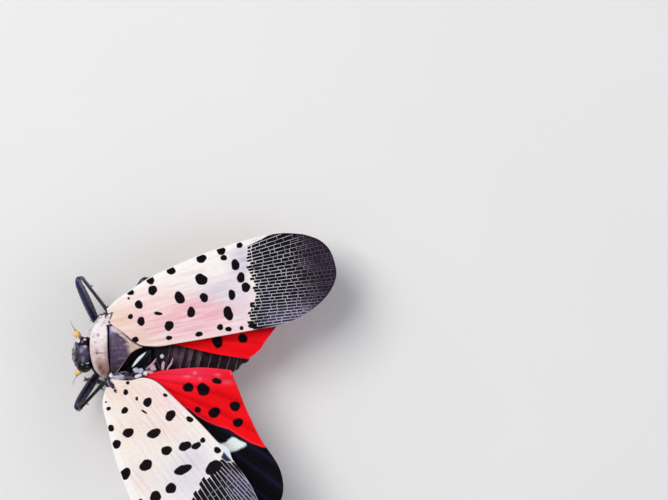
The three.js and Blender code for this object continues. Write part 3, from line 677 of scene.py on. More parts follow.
CREAM = srgb(251, 244, 238)
RIGHT_WASHES = [
    ((126, 322), (2.6, 2.0), srgb(240, 214, 186), 0.95),
    ((150, 338), (3.2, 0.9), srgb(232, 196, 178), 0.8),
    ((170, 316), (3.8, 1.7), srgb(243, 190, 196), 0.8),
    ((205, 312), (4.6, 1.5), srgb(243, 176, 186), 0.9),
    ((195, 330), (5.0, 0.7), srgb(244, 200, 206), 0.8),
    ((150, 300), (2.5, 1.4), srgb(250, 226, 222), 0.6),
    ((222, 292), (2.4, 1.1), srgb(212, 202, 216), 0.8),
    ((236, 262), (0.9, 1.8), srgb(222, 212, 228), 0.8),
    ((244, 260), (0.7, 1.3), srgb(196, 188, 208), 0.85),
    ((238, 305), (1.2, 2.0), srgb(232, 216, 226), 0.7),
]
LEFT_WASHES = [
    ((128, 392), (2.2, 1.6), srgb(240, 216, 196), 0.85),
    ((160, 398), (2.6, 1.4), srgb(245, 208, 210), 0.85),
    ((135, 425), (2.6, 2.6), srgb(245, 230, 214), 0.8),
    ((172, 430), (3.0, 1.6), srgb(244, 224, 216), 0.8),
    ((150, 470), (2.0, 2.6), srgb(240, 226, 218), 0.7),
    ((196, 458), (2.0, 1.6), srgb(222, 217, 226), 0.8),
    ((186, 484), (2.2, 1.6), srgb(220, 214, 228), 0.8),
]
SPOT_BLACK = srgb(12, 5, 12)
NET_BLACK = srgb(17, 13, 21)
NET_SLATE = srgb(32, 31, 46)
NET_PLUM = srgb(36, 28, 38)
NET_LILAC = srgb(66, 59, 82)
NET_PALE = srgb(216, 212, 224)
NET_TIP = srgb(108, 95, 117)
NET_PALE_LILAC = srgb(194, 188, 210)
VEIN_TINT = np.array([0.66, 0.52, 0.58])
SCARLET = srgb(250, 12, 24)
HIND_BLACK_AND_SHADE = srgb(8, 6, 14)
# Red and white parts of the hindwings, as corners in the photograph. Outside the red the wing is black: on
# the right hindwing this is its black apex; on the left it is partly the apex and partly painted shadow on
# the part that lies lower beyond the red fan's fold.
LEFT_RED = [(110, 340), (300, 340), (300, 452), (262, 447), (250.7, 443), (237.3, 435), (229.3, 429.6),
            (215.9, 425.6), (206.5, 421.6), (197.1, 416.2), (188, 409), (170, 404), (140, 400)]
LEFT_WHITE = [(219, 444), (226, 442.5), (229, 439.5), (232.5, 437), (236, 438), (240.5, 440.8),
              (246.5, 443.2), (246, 445.5), (240, 448.6), (236, 450.4), (230, 452)]
RIGHT_RED = [(120, 200), (262, 200), (270, 262), (284, 330), (284, 380), (120, 380)]
RIGHT_WHITE = [(262, 262), (276, 262), (286, 320), (278, 320)]
RED_RIM = srgb(244, 62, 84)
# Small pale pink flecks on the red: partly waxy powder, partly painted glints on the wing's wrinkles.
PINK_WAX_AND_GLINT = srgb(255, 132, 158)
HIND_WASHES = [
    ((190, 372), (3.2, 0.9), srgb(255, 58, 92), 0.8),
    ((215, 400), (3.0, 1.2), srgb(226, 6, 16), 0.5),
    ((194.8, 373), (0.17, 0.15), PINK_WAX_AND_GLINT, 0.9),
    ((187, 376.5), (0.3, 0.12), PINK_WAX_AND_GLINT, 0.5),
    ((200, 379), (0.14, 0.14), PINK_WAX_AND_GLINT, 0.5),
    ((217.5, 375), (0.22, 0.14), PINK_WAX_AND_GLINT, 0.5),
    ((231.5, 372.5), (0.1, 0.2), PINK_WAX_AND_GLINT, 0.6),
    ((228, 382), (0.6, 0.2), PINK_WAX_AND_GLINT, 0.3),
]


def shares(rows, columns):
    """Grids of the share along and the share across a skin."""
    return np.meshgrid(np.linspace(0, 1, rows), np.linspace(0, 1, columns), indexing="ij")


def closed_sheet(top, thickness):
    """Points and faces of a thin closed sheet below a grid of points."""
    rows, columns = top.shape[:2]
    below = top - np.array([0, 0, 1]) * np.asarray(thickness)[..., None]
    points = np.concatenate([top.reshape(-1, 3), below.reshape(-1, 3)])
    upper = grid_faces(rows, columns)
    count = rows * columns
    faces = upper + [[i + count for i in face[::-1]] for face in upper]
    rim = [(0, c) for c in range(columns - 1)] + [(r, columns - 1) for r in range(rows - 1)]
    rim += [(rows - 1, c) for c in range(columns - 1, 0, -1)] + [(r, 0) for r in range(rows - 1, 0, -1)]
    rim = [r * columns + c for r, c in rim]
    for here, after in zip(rim, rim[1:] + rim[:1]):
        faces.append([after, here, here + count, after + count])
    return points, faces_out(points, faces)


def on_wing(plan, height, lift=0.0):
    """Points on a wing's upper skin, raised by the lift."""
    return np.concatenate([plan, (height(plan) - MEMBRANE_DEPTH + lift)[..., None]], -1)


def add_vein(shape, plan, height, width, rise, tint):
    """A low ridge along a plan line, three-sided, that thins to both ends."""
    plan = np.asarray(plan)
    heading = np.gradient(plan, axis=0)
    heading /= np.linalg.norm(heading, axis=1)[:, None]
    aside = np.column_stack([-heading[:, 1], heading[:, 0]])
    width = np.broadcast_to(width, len(plan))[:, None]
    rise = np.broadcast_to(rise, len(plan))
    rings = np.stack(
        [
            on_wing(plan, height, rise),
            on_wing(plan + aside * width / 2, height, -0.015),
            on_wing(plan - aside * width / 2, height, -0.015),
        ],
        axis=1,
    )
    points, faces = lofted(rings)
    tints = np.broadcast_to(tint, (len(plan), 3))
    shape.add(points, faces, tint=np.concatenate([np.repeat(tints, 3, axis=0), tints[:1], tints[-1:]]))


def rear_share(past, w):
    """How far a point of the net belongs to its lilac rear corner."""
    return ease(-w, 1.2, 3.2) * ease(past, 0.5, 2.0) * (1 - ease(past, 4.5, 7.5))


def net_colours(near, tip, rear, past, w):
    """Colour in the net: near its start, then towards the tip and towards its rear corner."""
    colours = blend(np.broadcast_to(near, (*np.shape(past), 3)), tip, ease(past, 2.8, 6.2))
    return blend(colours, rear, 0.85 * rear_share(past, w))


LEFT_REAR_LOBE = {"place": 11.1, "width": 0.62, "reach": 0.38}


def lobed(patch, wing_frame, place, width, reach):
    """The wing with a low lobe on its rear edge."""

    def at(u, v):
        plan = patch(u, v)
        bulge = reach * peak(wing_frame.place(plan)[0], place, width) * ease(v, 0.85, 1)
        return plan - bulge[..., None] * wing_frame.towards_costa

    return at


def forewing(side, wing_frame, outline, height, spots, net, washes, marks, seed):
    patch = four_sided(**in_plan(wing_frame, outline))
    if side == "left":
        patch = lobed(patch, wing_frame, **LEFT_REAR_LOBE)
    u, v = shares(*FOREWING_GRID)
    plan = patch(u, v)
    s, w = wing_frame.place(plan)
    past = s - net.begins(w, net.number(s, w), seed)
    # The skin sinks a little between its veins and is thicker at the hinge.
    sag = sum(peak(v, vein, 0.03) for vein in MAIN_VEINS)
    relief = 0.03 * sag * (1 - ease(past, -1, 1)) + 0.012 * ripple(on_wing(plan, height), 1.4, seed)
    root = 0.2 * (1 - ease(s, 0.2, 1.8)) * peak(w, 0.5, 0.6)
    top = on_wing(plan, height, relief)
    tint = washed(plan, CREAM, washes)
    tint = blend(tint, srgb(252, 250, 248), 0.8 * (1 - ease(v, 0.02, 0.12)))
    lengthwise = ripple(np.stack([0.16 * s, 1.5 * w, 0 * s], -1), 0.8, seed + 1)
    tint = blend(tint, CREAM, 0.35 * ease(lengthwise, 0.0, 0.9))
    tint = blend(tint, tint * np.array([0.9, 0.8, 0.84]), 0.6 * ease(-lengthwise, 0.3, 1.2))
    tint = blend(tint, srgb(96, 62, 60), (1 - ease(1 - v, 0.0, 0.012)) * (1 - ease(s, 3.5, 5.5)))
    for corners, colour in marks:
        depth = area_depth(plan, photo_line(corners))
        tint = blend(tint, colour, ease(depth, -0.07, 0.07))
    spot = spot_distance(plan, spots, seed + 2)
    dark = net_colours(NET_BLACK, NET_PLUM, NET_LILAC, past, w)
    make_wing(f"forewing_{side}", top, MEMBRANE_THICKNESS + root, FOREWING_SKIN, "forewing",
              tint=tint, dark=dark, spot=spot, net=past)
    veins = forewing_veins(wing_frame, patch, height, spots, net, washes, seed)
    add_border(veins, wing_frame, patch, height, net)
    make_piece(f"forewing_{side}_veins", veins, VEIN_SKIN)


def make_wing(name, top, thickness, material, slot, **values):
    points, faces = closed_sheet(top, thickness)
    twice = {k: np.concatenate([x.reshape(-1, *x.shape[2:])] * 2) for k, x in values.items()}
    shape = Shape().add(points, faces, **twice)
    make_piece(f"{name}_skin", shape, material, [name], sharp=50)


def forewing_veins(wing_frame, patch, height, spots, net, washes, seed):
    """Lengthwise veins up to the net, and the net's rows and cross veins beyond."""
    shape = Shape()
    draw = np.random.default_rng(seed + 3)
    between = [(a + b) / 2 for a, b in zip(MAIN_VEINS[2:], MAIN_VEINS[3:])]
    for share in MAIN_VEINS + between:
        main = share in MAIN_VEINS
        u = np.linspace(0.02 if main else draw.uniform(0.18, 0.4), 1, 240)
        sway = 0.008 * np.sin(u * draw.uniform(7, 14) + draw.uniform(0, 6)) * ease(u, 0.1, 0.3)
        line = patch(u, share + sway)
        s, w = wing_frame.place(line)
        line = line[s < net.begins(w, net.number(s, w), seed) + 0.1]
        s, w = wing_frame.place(line)
        strength = draw.uniform(0.7, 1.2) * (0.4 + 0.6 * ease(-w, -1.5, 1.0)) * ease(s, 1.2, 4.5)
        ground = washed(line, CREAM, washes)
        tint = blend(ground, ground * VEIN_TINT, strength if main else 0.6 * strength)
        tint = blend(tint, SPOT_BLACK, ease(-spot_distance(line, spots, seed + 2), -0.03, 0.03))
        fade = ease(np.linspace(1, 0, len(line)), 0, 0.1)
        width, rise = MAIN_VEIN if main else SIDE_VEIN
        add_vein(shape, line, height, width, rise * fade, tint)
    add_net(shape, wing_frame, patch, height, spots, net, seed)
    return shape


def add_net(shape, wing_frame, patch, height, spots, net, seed):
    draw = np.random.default_rng(seed + 7)
    rim = rim_of(patch)
    starts = {}
    for k in range(NET_ROWS.start - 1, NET_ROWS.stop + 1):
        w = net.line(k + 0.5, net.middle)
        starts[k] = float(net.begins(w, np.array(k + 0.5), seed))

    def strand(s, rows, begin, width, bright=1.0):
        plan = wing_frame.plan(s, net.line(rows, s))
        kept = inside(plan, rim)
        if kept.sum() < 3:
            return
        plan, past = plan[kept], s[kept] - begin
        w = wing_frame.place(plan)[1]
        tint = net_colours(NET_PALE, NET_TIP, NET_PALE_LILAC, past, w)
        tint = blend(net_colours(NET_BLACK, NET_PLUM, NET_LILAC, past, w), tint, np.full(len(plan), bright))
        tint = blend(tint, CREAM, 1 - ease(past, 0.2, 0.7))
        tint = blend(tint, SPOT_BLACK, ease(-spot_distance(plan, spots, seed + 2), -0.03, 0.03))
        swell = 0.7 * (1 - ease(past, 0.1, 0.9)) - 0.25 * ease(past, 3.0, 6.0) + 0.4 * rear_share(past, w)
        add_vein(shape, plan, height, width * (1 + swell), NET_RISE, tint)

    for k in range(NET_ROWS.start, NET_ROWS.stop + 1):
        begin = min(starts[k - 1], starts[k])
        strand(np.arange(begin - 0.03, FOREWING_REACH, NET_STEP), k, begin, NET_WIDTH)
    for k in NET_ROWS:
        # Towards the tip half of the rows are split, and wide ones sooner.
        split = starts[k] + draw.uniform(*ROW_SPLIT_AFTER)
        if net.line(k + 1, split - 2) - net.line(k, split - 2) > WIDE_ROW:
            strand(np.arange(split - 2, FOREWING_REACH, NET_STEP), k + 0.5, starts[k], NET_WIDTH * 0.9)
        elif draw.uniform() < 0.5:
            strand(np.arange(split, FOREWING_REACH, NET_STEP), k + 0.5, starts[k], NET_WIDTH * 0.7, 0.8)
        place = starts[k] + draw.uniform(0.3, 0.6) + 1.6 * (1 - net.crossing)
        while place < FOREWING_REACH:
            lean = draw.uniform(-0.05, 0.05)
            s = place + np.linspace(-lean, lean, 3)
            bright = net.crossing * draw.uniform(0.7, 1.0)
            strand(s, k + np.linspace(0.0, 1.0, 3), starts[k], NET_WIDTH * draw.uniform(0.7, 1.15), bright)
            place += draw.uniform(0.4, 1.0) * (1 - 0.45 * ease(place, starts[k] + 2, starts[k] + 6))


def add_border(shape, wing_frame, patch, height, net):
    """A bead round the wing's edge: pale along the costa, brown at the inner root, slate at the tip."""
    t = np.linspace(0, 1, 220)
    plan = np.concatenate([patch(t, 0 * t), patch(0 * t + 1, t)[1:], patch(t[::-1], 0 * t + 1)[1:]])
    plan = even_steps(plan, 0.12)
    s, w = wing_frame.place(plan)
    past = s - np.interp(w, net.start[:, 0], net.start[:, 1])
    tint = np.broadcast_to(srgb(250, 247, 244), (len(plan), 3))
    inner = ease(-w, 0, 1.5)
    tint = painted(tint, [
        (srgb(236, 216, 212), inner),
        (srgb(70, 44, 44), inner * (1 - ease(s, 3.2, 5.0))),
    ])
    edge = blend(plain(NET_SLATE, tint), NET_PALE_LILAC, 0.7 * rear_share(past, w))
    tint = blend(tint, edge, ease(past, -0.2, 0.6))
    points, faces = tube(on_wing(plan, height, -MEMBRANE_THICKNESS / 2), BORDER_RADIUS, sides=6)
    shape.add(points, faces, tint=np.concatenate([np.repeat(tint, 6, axis=0), tint[:1], tint[-1:]]))


def line_distance(plan, line, closed=False):
    """Least distance from plan points to a line of points."""
    line = np.asarray(line, float)
    ends = np.roll(line, -1, axis=0) if closed else line[1:]
    nearest = np.full(plan.shape[:-1], 99.0)
    for a, b in zip(line, ends):
        along = b - a
        share = np.clip((plan - a) @ along / max(along @ along, 1e-12), 0, 1)
        nearest = np.minimum(nearest, np.linalg.norm(plan - a - share[..., None] * along, axis=-1))
    return nearest


def area_depth(plan, corners):
    """Distance to a closed area's edge, above 0 inside."""
    return np.where(inside(plan, corners), 1, -1) * line_distance(plan, corners, closed=True)


def hindwing(side, outline, height, spots, red_area, white_area, washes, seed):
    patch = four_sided(**outline)
    u, v = shares(*HINDWING_GRID)
    plan = patch(u, v)
    crests = sum(peak(v, vein, 0.02) for vein in FAN_VEINS)
    folds = np.cos(v * 2 * math.pi * FAN_FOLDS) * ease(u, 0.05, 0.5)
    relief = 0.05 * crests * (1 - 0.6 * u) + 0.07 * folds
    relief = relief + 0.03 * ripple(on_wing(plan, height), 2.0, seed)
    red_corners = photo_line(red_area)
    black = -area_depth(plan, red_corners)
    white = ease(area_depth(plan, photo_line(white_area)), -0.04, 0.04)
    tint = washed(plan, SCARLET, washes)
    tint = blend(tint, tint * 0.72, 0.6 * crests)
    tint = blend(tint, RED_RIM, 0.5 * peak(black, -0.1, 0.07))
    # Outside the red: the black of the apex, and on the left hindwing painted shadow as well.
    dark = plain(HIND_BLACK_AND_SHADE, tint)
    dark = blend(dark, srgb(38, 40, 66), 0.5 * crests)
    dark = blend(dark, srgb(240, 252, 252), white)
    spot = spot_distance(plan, spots, seed)
    make_wing(f"hindwing_{side}", on_wing(plan, height, relief - 0.08), MEMBRANE_THICKNESS + 0 * u,
              HINDWING_SKIN, "hindwing", tint=tint, dark=dark, spot=spot, net=black)
    free_edge = np.concatenate([patch(np.linspace(0, 1, 90), 0), patch(1, np.linspace(0, 1, 150))[1:]])
    points, faces = tube(on_wing(even_steps(free_edge, 0.15), height, -0.09), BORDER_RADIUS, sides=6)
    red = ease(area_depth(points[:, :2], red_corners), -0.05, 0.05)
    tint = blend(plain(HIND_BLACK_AND_SHADE, points), RED_RIM, red)
    make_piece(f"hindwing_{side}_border", Shape().add(points, faces, tint=tint), VEIN_SKIN)


# Body


def superellipse(angle, power):
    """Across and upward shares of a ring point: round at 2 and boxier above."""

    def bend(value):
        return np.sign(value) * np.abs(value) ** (2 / power)

    return bend(np.cos(angle)), bend(np.sin(angle))


TRUNK_STATIONS = [
    # x, middle y, middle z, half width, reach up, reach down, power
    (-2.1, -0.3, 4.6, 0.8, 0.6, 0.7, 2.0),
    (-1.6, -0.22, 4.5, 1.7, 0.9, 1.1, 2.1),
    (-1.0, -0.15, 4.35, 2.3, 1.3, 1.35, 2.2),
    (-0.3, -0.08, 4.2, 2.25, 1.45, 1.45, 2.4),
    (0.4, 0.0, 4.0, 2.45, 1.6, 1.35, 2.6),
    (1.1, 0.0, 3.9, 2.65, 1.65, 1.33, 2.7),
    (2.0, 0.0, 3.88, 2.6, 1.6, 1.3, 2.7),
    (2.9, 0.0, 3.86, 2.5, 1.55, 1.3, 2.6),
    (3.6, 0.02, 3.88, 2.3, 1.45, 1.28, 2.5),
]
ABDOMEN_START = 4.07
ABDOMEN_LENGTH = 7.23
ABDOMEN_HALF_WIDTH = 2.4
ABDOMEN_HALF_HEIGHT = 1.5
ABDOMEN_SWING = -0.085
# Grooves in the thorax's sides: place and slant.
FLANK_GROOVES = [(0.75, 0.25), (1.75, -0.2), (2.75, 0.3), (3.55, 0.1)]
# Rear edges of the abdomen's segments.
SEGMENT_EDGES = [4.2, 5.3, 6.6, 7.35, 8.15, 9.0, 9.85, 10.65, 11.4]
SIDE_FOLD = -0.12

SLATE = srgb(48, 41, 60)
BODY_BLACK = srgb(17, 12, 18)
ABDOMEN_BROWN = srgb(36, 23, 31)
SEGMENT_PALE = srgb(168, 146, 156)
SEGMENT_SHEEN_GREY = srgb(124, 106, 118)
SIDE_YELLOW = srgb(190, 158, 92)


def trunk_stations():
    rows = list(TRUNK_STATIONS)
    for t in np.linspace(0.02, 0.99, 12):
        taper = math.sqrt(1 - ((t - 0.28) / 0.8) ** 2)
        x = ABDOMEN_START + t * ABDOMEN_LENGTH
        y = ABDOMEN_SWING * (x - ABDOMEN_START)
        rows.append((x, y, 4 - 0.35 * t * t, ABDOMEN_HALF_WIDTH * taper, ABDOMEN_HALF_HEIGHT * taper,
                     ABDOMEN_HALF_HEIGHT * taper, 2.2))
    for x, half in ((11.6, 0.66), (11.95, 0.52), (12.2, 0.32), (12.3, 0.06)):
        y = ABDOMEN_SWING * (x - ABDOMEN_START)
        rows.append((x, y, 3.65, half, half * 0.85, half * 0.85, 2.0))
    return rows


def segment_share(x):
    """Which share of its abdominal segment a place is at, and how far to the segment's rear edge."""
    edges = np.array(SEGMENT_EDGES)
    i = np.clip(np.searchsorted(edges, x), 1, len(edges) - 1)
    return np.clip((x - edges[i - 1]) / (edges[i] - edges[i - 1]), 0, 1), edges[i] - x


def trunk():
    """Neck, thorax sides and abdomen in one skin."""
    rings, around = TRUNK_GRID
    line = smooth_line(trunk_stations())(np.linspace(0, 1, rings))
    angle = np.arange(around) * 2 * math.pi / around
    x, y, z, wide, high, low, power = (line[:, i, None] for i in range(7))
    across, upward = superellipse(angle[None], power)
    rise = upward * np.where(upward > 0, high, low)
    points = np.stack([x + 0 * across, y + across * wide, z + rise], -1)
    outward = np.stack([0 * across, across, upward], -1)
    outward /= np.linalg.norm(outward, axis=-1)[..., None]
    on_abdomen = ease(x, 4.0, 4.3) * (1 - ease(x, 11.4, 11.8))
    aside = points[..., 1] - y
    share, to_edge = segment_share(x - 0.2 * aside + 0.05 * aside * aside)
    right_fold, left_fold = SIDE_FOLD % (2 * math.pi), math.pi - SIDE_FOLD
    side = np.minimum(np.abs(angle[None] - right_fold), np.abs(angle[None] - left_fold))
    relief = on_abdomen * (0.1 * share - 0.07 * peak(to_edge, 0, 0.05) - 0.12 * peak(side, 0, 0.07))
    relief = relief - on_abdomen * 0.03 * peak(side, 0.28, 0.06)
    flank = (1 - on_abdomen) * ease(-upward, -0.5, 0.1) * ease(x, -0.8, 0.2)
    for place, slant in FLANK_GROOVES:
        relief = relief - 0.09 * flank * peak(x - slant * upward, place, 0.07)
    relief = relief + 0.02 * ripple(points, 0.7, 3) + 0.012 * ripple(points, 0.25, 4)
    points = points + outward * relief[..., None]
    tint = plain(BODY_BLACK, points)
    back = on_abdomen * ease(np.sin(angle), -0.1, 0.3)[None]
    tint = blend(tint, ABDOMEN_BROWN, on_abdomen * (0.7 + 0.3 * ripple(points, 0.8, 5)))
    # Painted sheen: a soft grey gleam just in front of each segment's pale edge on the abdomen's top.
    gleam = ease(x, 5.0, 5.4) * (1 - ease(x, 7.6, 8.8)) * peak(aside, -0.3, 0.9)
    tint = blend(tint, SEGMENT_SHEEN_GREY, 0.5 * back * peak(to_edge, 0.24, 0.16) * gleam)
    faded = (0.55 + 0.3 * ripple(points, 0.7, 6)) * (0.25 + 0.75 * ease(-aside, -1.0, 1.0))
    thin = 0.02 + 0.02 * ease(-aside, -0.2, 1.4)
    pale_edge = back * peak(to_edge, 0.07, thin) * ease(x, 4.9, 5.2) * np.clip(faded, 0, 1)
    tint = blend(tint, SEGMENT_PALE, pale_edge)
    # Painted highlight: a soft lilac patch on the top of the abdomen's front.
    far = np.hypot((points[..., 0] - 5.75) / 0.3, (points[..., 1] + 0.3) / 0.6)
    tint = blend(tint, srgb(122, 88, 102), 0.55 * np.exp(-far * far) * ease(upward, 0.3, 0.6))
    belly = on_abdomen * ease(-np.sin(angle), -0.2, 0.2)[None]
    tint = painted(tint, [
        (SIDE_YELLOW, 0.75 * on_abdomen * peak(side, 0, 0.16)),
        (SIDE_YELLOW, 0.8 * belly * peak(to_edge, 0.0, 0.1)),
    ])
    skin, faces = lofted(points)
    tint = np.concatenate([tint.reshape(-1, 3), np.tile(BODY_BLACK, (2, 1))])
    make_piece("body_skin", Shape().add(skin, faces, tint=tint), BODY_SHELL,
               ["thorax", "abdomen", "abdomen_tip"])


def plate_points(front, rear, grid):
    """Plan grid between two edge lines, closer together at its own edges."""
    u, v = ((1 - np.cos(math.pi * share)) / 2 for share in shares(*grid))
    return smooth_line(front)(u) * (1 - v)[..., None] + smooth_line(rear)(u) * v[..., None], u, v


def plate_rim(plan):
    return np.concatenate([plan[:-1, 0], plan[-1, :-1], plan[:0:-1, -1], plan[0, :0:-1]])


def plate_inward(plan):
    """How far each point of a plate lies from the plate's edge."""
    return line_distance(plan, plate_rim(plan), closed=True)


def make_plate(name, plan, top, shell, tint, material, nodes=()):
    """A closed plate of shell whose edge rolls down."""
    thickness, roll = shell
    drop = roll * (1 - np.sqrt(1 - (1 - np.clip(plate_inward(plan) / roll, 0, 1)) ** 2))
    upper = np.concatenate([plan, (top - drop)[..., None]], -1)
    points, faces = closed_sheet(upper, np.maximum(thickness - drop, THINNEST_EDGE))
    both_sides = np.concatenate([tint.reshape(-1, 3)] * 2)
    make_piece(name, Shape().add(points, faces, tint=both_sides), material, nodes)


def flat_points(plan):
    """A plate's plan points at height 0, where its random fields are read."""
    return np.concatenate([plan, 0 * plan[..., :1]], -1)


PRONOTUM_FRONT = [(-0.74, 3.05), (-1.4, 2.2), (-1.75, 1.2), (-1.8, 0.2), (-1.68, -0.8), (-1.35, -1.8),
                  (-0.5, -2.75)]
PRONOTUM_REAR = [(-0.55, 3.12), (-0.36, 2.4), (-0.22, 1.6), (-0.19, 0.3), (-0.14, -0.8), (-0.05, -1.8),
                 (-0.32, -2.85)]
# Pits and brown spots of the collar in the photograph, the spots with their reach in mm.
PRONOTUM_PITS = [(98, 335), (100, 368)]
PRONOTUM_SPOTS = [((98, 335), 0.13), ((100, 368), 0.2), ((97, 353), 0.12), ((103, 372), 0.16)]
# The grey flange in front of the collar's right end, as its outer and inner edges.
SHOULDER_OUTER = [(-0.95, 3.1), (-1.3, 2.62), (-1.7, 2.16), (-2.08, 1.76), (-2.12, 1.5), (-1.75, 1.15)]
SHOULDER_INNER = [(-0.7, 2.9), (-0.9, 2.5), (-1.1, 2.1), (-1.3, 1.7), (-1.45, 1.4), (-1.55, 1.1)]
MESONOTUM_RIGHT = [(-0.12, 2.42), (0.38, 2.22), (0.86, 1.8), (1.38, 1.25), (1.95, 0.76), (2.5, 0.46),
                   (2.85, 0.3)]
MESONOTUM_LEFT = [(0.02, -2.3), (0.5, -2.12), (0.96, -1.5), (1.41, -0.86), (1.8, -0.33), (2.32, 0.03),
                  (2.8, 0.2)]
METANOTUM_FRONT = [(0.85, -2.4), (1.75, -1.25), (2.5, -0.4), (3.05, 0.1), (3.2, 0.35), (3.25, 0.6)]
METANOTUM_REAR = [(1.5, -2.6), (2.75, -1.9), (3.75, -1.5), (3.85, -0.7), (3.85, 0.0), (3.8, 0.6)]
# The metanotum's ridge in the photograph, along which its white highlight is painted.
METANOTUM_RIDGE = [(132, 367), (138.6, 359), (148, 350)]


def pronotum():
    """The collar behind the head: pale, pitted and browner on the left."""
    plan, u, v = plate_points(PRONOTUM_FRONT, PRONOTUM_REAR, PRONOTUM_GRID)
    x, y = plan[..., 0], plan[..., 1]
    flat = flat_points(plan)
    top = 6.72 - 0.24 * y * y - 0.09 * (x + 0.5) ** 2
    top = top + 0.05 * peak(y, -0.15, 0.09) * ease(v, 0.1, 0.3)
    for pit in photo_line(PRONOTUM_PITS):
        top = top - 0.09 * peak(np.linalg.norm(plan - pit, axis=-1), 0, 0.16)
    top = top - 0.05 * peak(x, -1.15, 0.06) * peak(y, -0.27, 0.35)
    top = top + 0.02 * ripple(flat * [1, 2, 1], 0.8, 11) + 0.012 * ripple(flat, 0.3, 12)
    top = top + 0.04 * peak(v, 0.06, 0.05)
    tint = painted(plain(srgb(228, 204, 202), flat), [
        (srgb(252, 242, 243), ease(y, 0.0, 1.6)),
        (srgb(168, 116, 104), 0.9 * (1 - ease(y, -1.4, -0.3)) * ease(v, 0.05, 0.4)),
        (srgb(196, 172, 164), (1 - ease(y, -2.6, -1.9))),
        (srgb(150, 128, 142), 0.6 * ease(v, 0.7, 0.95) * peak(y, -0.3, 1.1)),
        (srgb(120, 84, 84), 0.35 * ease(ripple(flat, 0.5, 13), 0.2, 1.0)),
    ])
    for place, reach in PRONOTUM_SPOTS:
        spot = peak(np.linalg.norm((plan - from_photo(*place)) * [1, 0.8], axis=-1), 0, reach)
        tint = blend(tint, srgb(74, 50, 58), 0.7 * spot)
    dash = peak(y, -0.27, 0.045) * ease(x, -1.4, -1.2) * (1 - ease(x, -0.75, -0.5))
    tint = painted(tint, [
        (srgb(84, 54, 64), 0.75 * dash),
        # Painted shadow: a dark line along the rear edge, in the gap before the mesonotum.
        (srgb(46, 34, 44), 0.85 * ease(v, 0.965, 0.985) * ease(u, 0.1, 0.2)),
    ])
    make_plate("pronotum_shell", plan, top, PRONOTUM_SHELL, tint, PALE_SHELL, ["pronotum"])


def shoulder():
    """Grey flange with a whitish, uneven rim beside the collar's right end."""
    plan, u, v = plate_points(SHOULDER_OUTER, SHOULDER_INNER, SHOULDER_GRID)
    flat = flat_points(plan)
    x, y = plan[..., 0], plan[..., 1]
    top = 6.42 - 0.24 * y * y - 0.09 * (x + 0.5) ** 2 + 0.04 * ripple(flat, 0.5, 15) - 0.12 * v
    tint = painted(plain(srgb(206, 200, 204), flat), [
        (srgb(112, 100, 104), 0.75 * ease(ripple(flat, 0.45, 16), 0.1, 0.8)),
        (srgb(96, 80, 88), 0.8 * peak(v, 0.85, 0.2) * peak(u, 0.55, 0.25)),
        (srgb(240, 238, 240), 0.9 * (1 - ease(v, 0.05, 0.2))),
    ])
    make_plate("shoulder_flange", plan, top, SHOULDER_SHELL, tint, PALE_SHELL)


def mesonotum():
    """The dark triangle between the wings, with three keels and a pale tip."""
    plan, u, v = plate_points(MESONOTUM_RIGHT, MESONOTUM_LEFT, MESONOTUM_GRID)
    x, y = plan[..., 0], plan[..., 1]
    flat = flat_points(plan)
    top = 6.85 - 0.2 * (y - 0.05 * x) ** 2 - 0.045 * x * x - 0.12 * (1 - ease(v, 0.0, 0.14))
    top = top - 0.25 * (1 - ease(u, 0.0, 0.12))
    keels = peak(v, 0.5, 0.02) + peak(v, 0.2 + 0.1 * u, 0.025) + peak(v, 0.8 - 0.1 * u, 0.025)
    top = top + 0.035 * keels * (1 - ease(u, 0.5, 0.8))
    top = top + 0.018 * ripple(flat * [2.5, 1, 1], 0.6, 21) + 0.01 * ripple(flat, 0.22, 22)
    streaks = ripple(flat * [0.35, 2.4, 1], 0.9, 23)
    tint = painted(plain(srgb(80, 62, 88), flat), [
        (srgb(50, 32, 46), 0.85 * (1 - ease(y, -1.9, -0.5))),
        (srgb(146, 144, 196), 0.85 * ease(y - 0.5 * x, 0.9, 1.9)),
        (srgb(158, 118, 138), 0.55 * ease(streaks, 0, 1) * ease(x, 0.3, 1.3)),
        (srgb(42, 28, 42), 0.4 * ease(-streaks, 0.2, 1)),
        (srgb(224, 190, 172), ease(x + 0.25 * y + 0.05 * streaks, 1.35, 2.05)),
    ])
    pale_side = (1 - ease(v + 0.02 * streaks, 0.1, 0.17)) * ease(u, 0.03, 0.1)
    tint = painted(tint, [
        (srgb(236, 214, 210), 0.9 * pale_side),
        (srgb(196, 170, 166), 0.85 * ease(v, 0.965, 0.985)),
        # Painted shadow: a dark line along the front edge, in the gap behind the collar.
        (srgb(24, 16, 24), 1 - ease(u, 0.006, 0.02)),
    ])
    make_plate("mesonotum_shell", plan, top, MESONOTUM_SHELL, tint, DARK_SHELL, ["mesonotum"])


def metanotum():
    """The glossy black plate behind the triangle, with a painted white highlight along its ridge."""
    plan, _, v = plate_points(METANOTUM_FRONT, METANOTUM_REAR, METANOTUM_GRID)
    flat = flat_points(plan)
    x, y = plan[..., 0], plan[..., 1]
    top = 5.9 - 0.06 * (y + 0.4) ** 2 - 0.05 * (x - 2.6) ** 2
    crest = photo_line(METANOTUM_RIDGE)
    ridge = line_distance(plan, crest)
    span = crest[-1] - crest[0]
    along = (plan - crest[0]) @ span / np.sum(span**2)
    top = top + 0.2 * peak(ridge, 0, 0.25) + 0.05 * ripple(flat, 1.6, 31) - 0.4 * ease(v, 0.6, 1.0)
    tint = plain(srgb(9, 6, 12), flat)
    tint = blend(tint, srgb(62, 40, 60), 0.4 * ease(v, 0.75, 1.0) * ease(-y, 0.2, 1.6))
    # Painted highlight: a white streak along the ridge, widest near its middle.
    highlight_half_width = 0.16 * (1 - (2 * np.clip(along, 0, 1) - 0.85) ** 2)
    tint = blend(tint, srgb(238, 242, 252), 0.95 * ease(highlight_half_width - ridge, 0.0, 0.06))
    make_plate("metanotum_shell", plan, top, METANOTUM_SHELL, tint, GLOSS_SHELL, ["metanotum"])


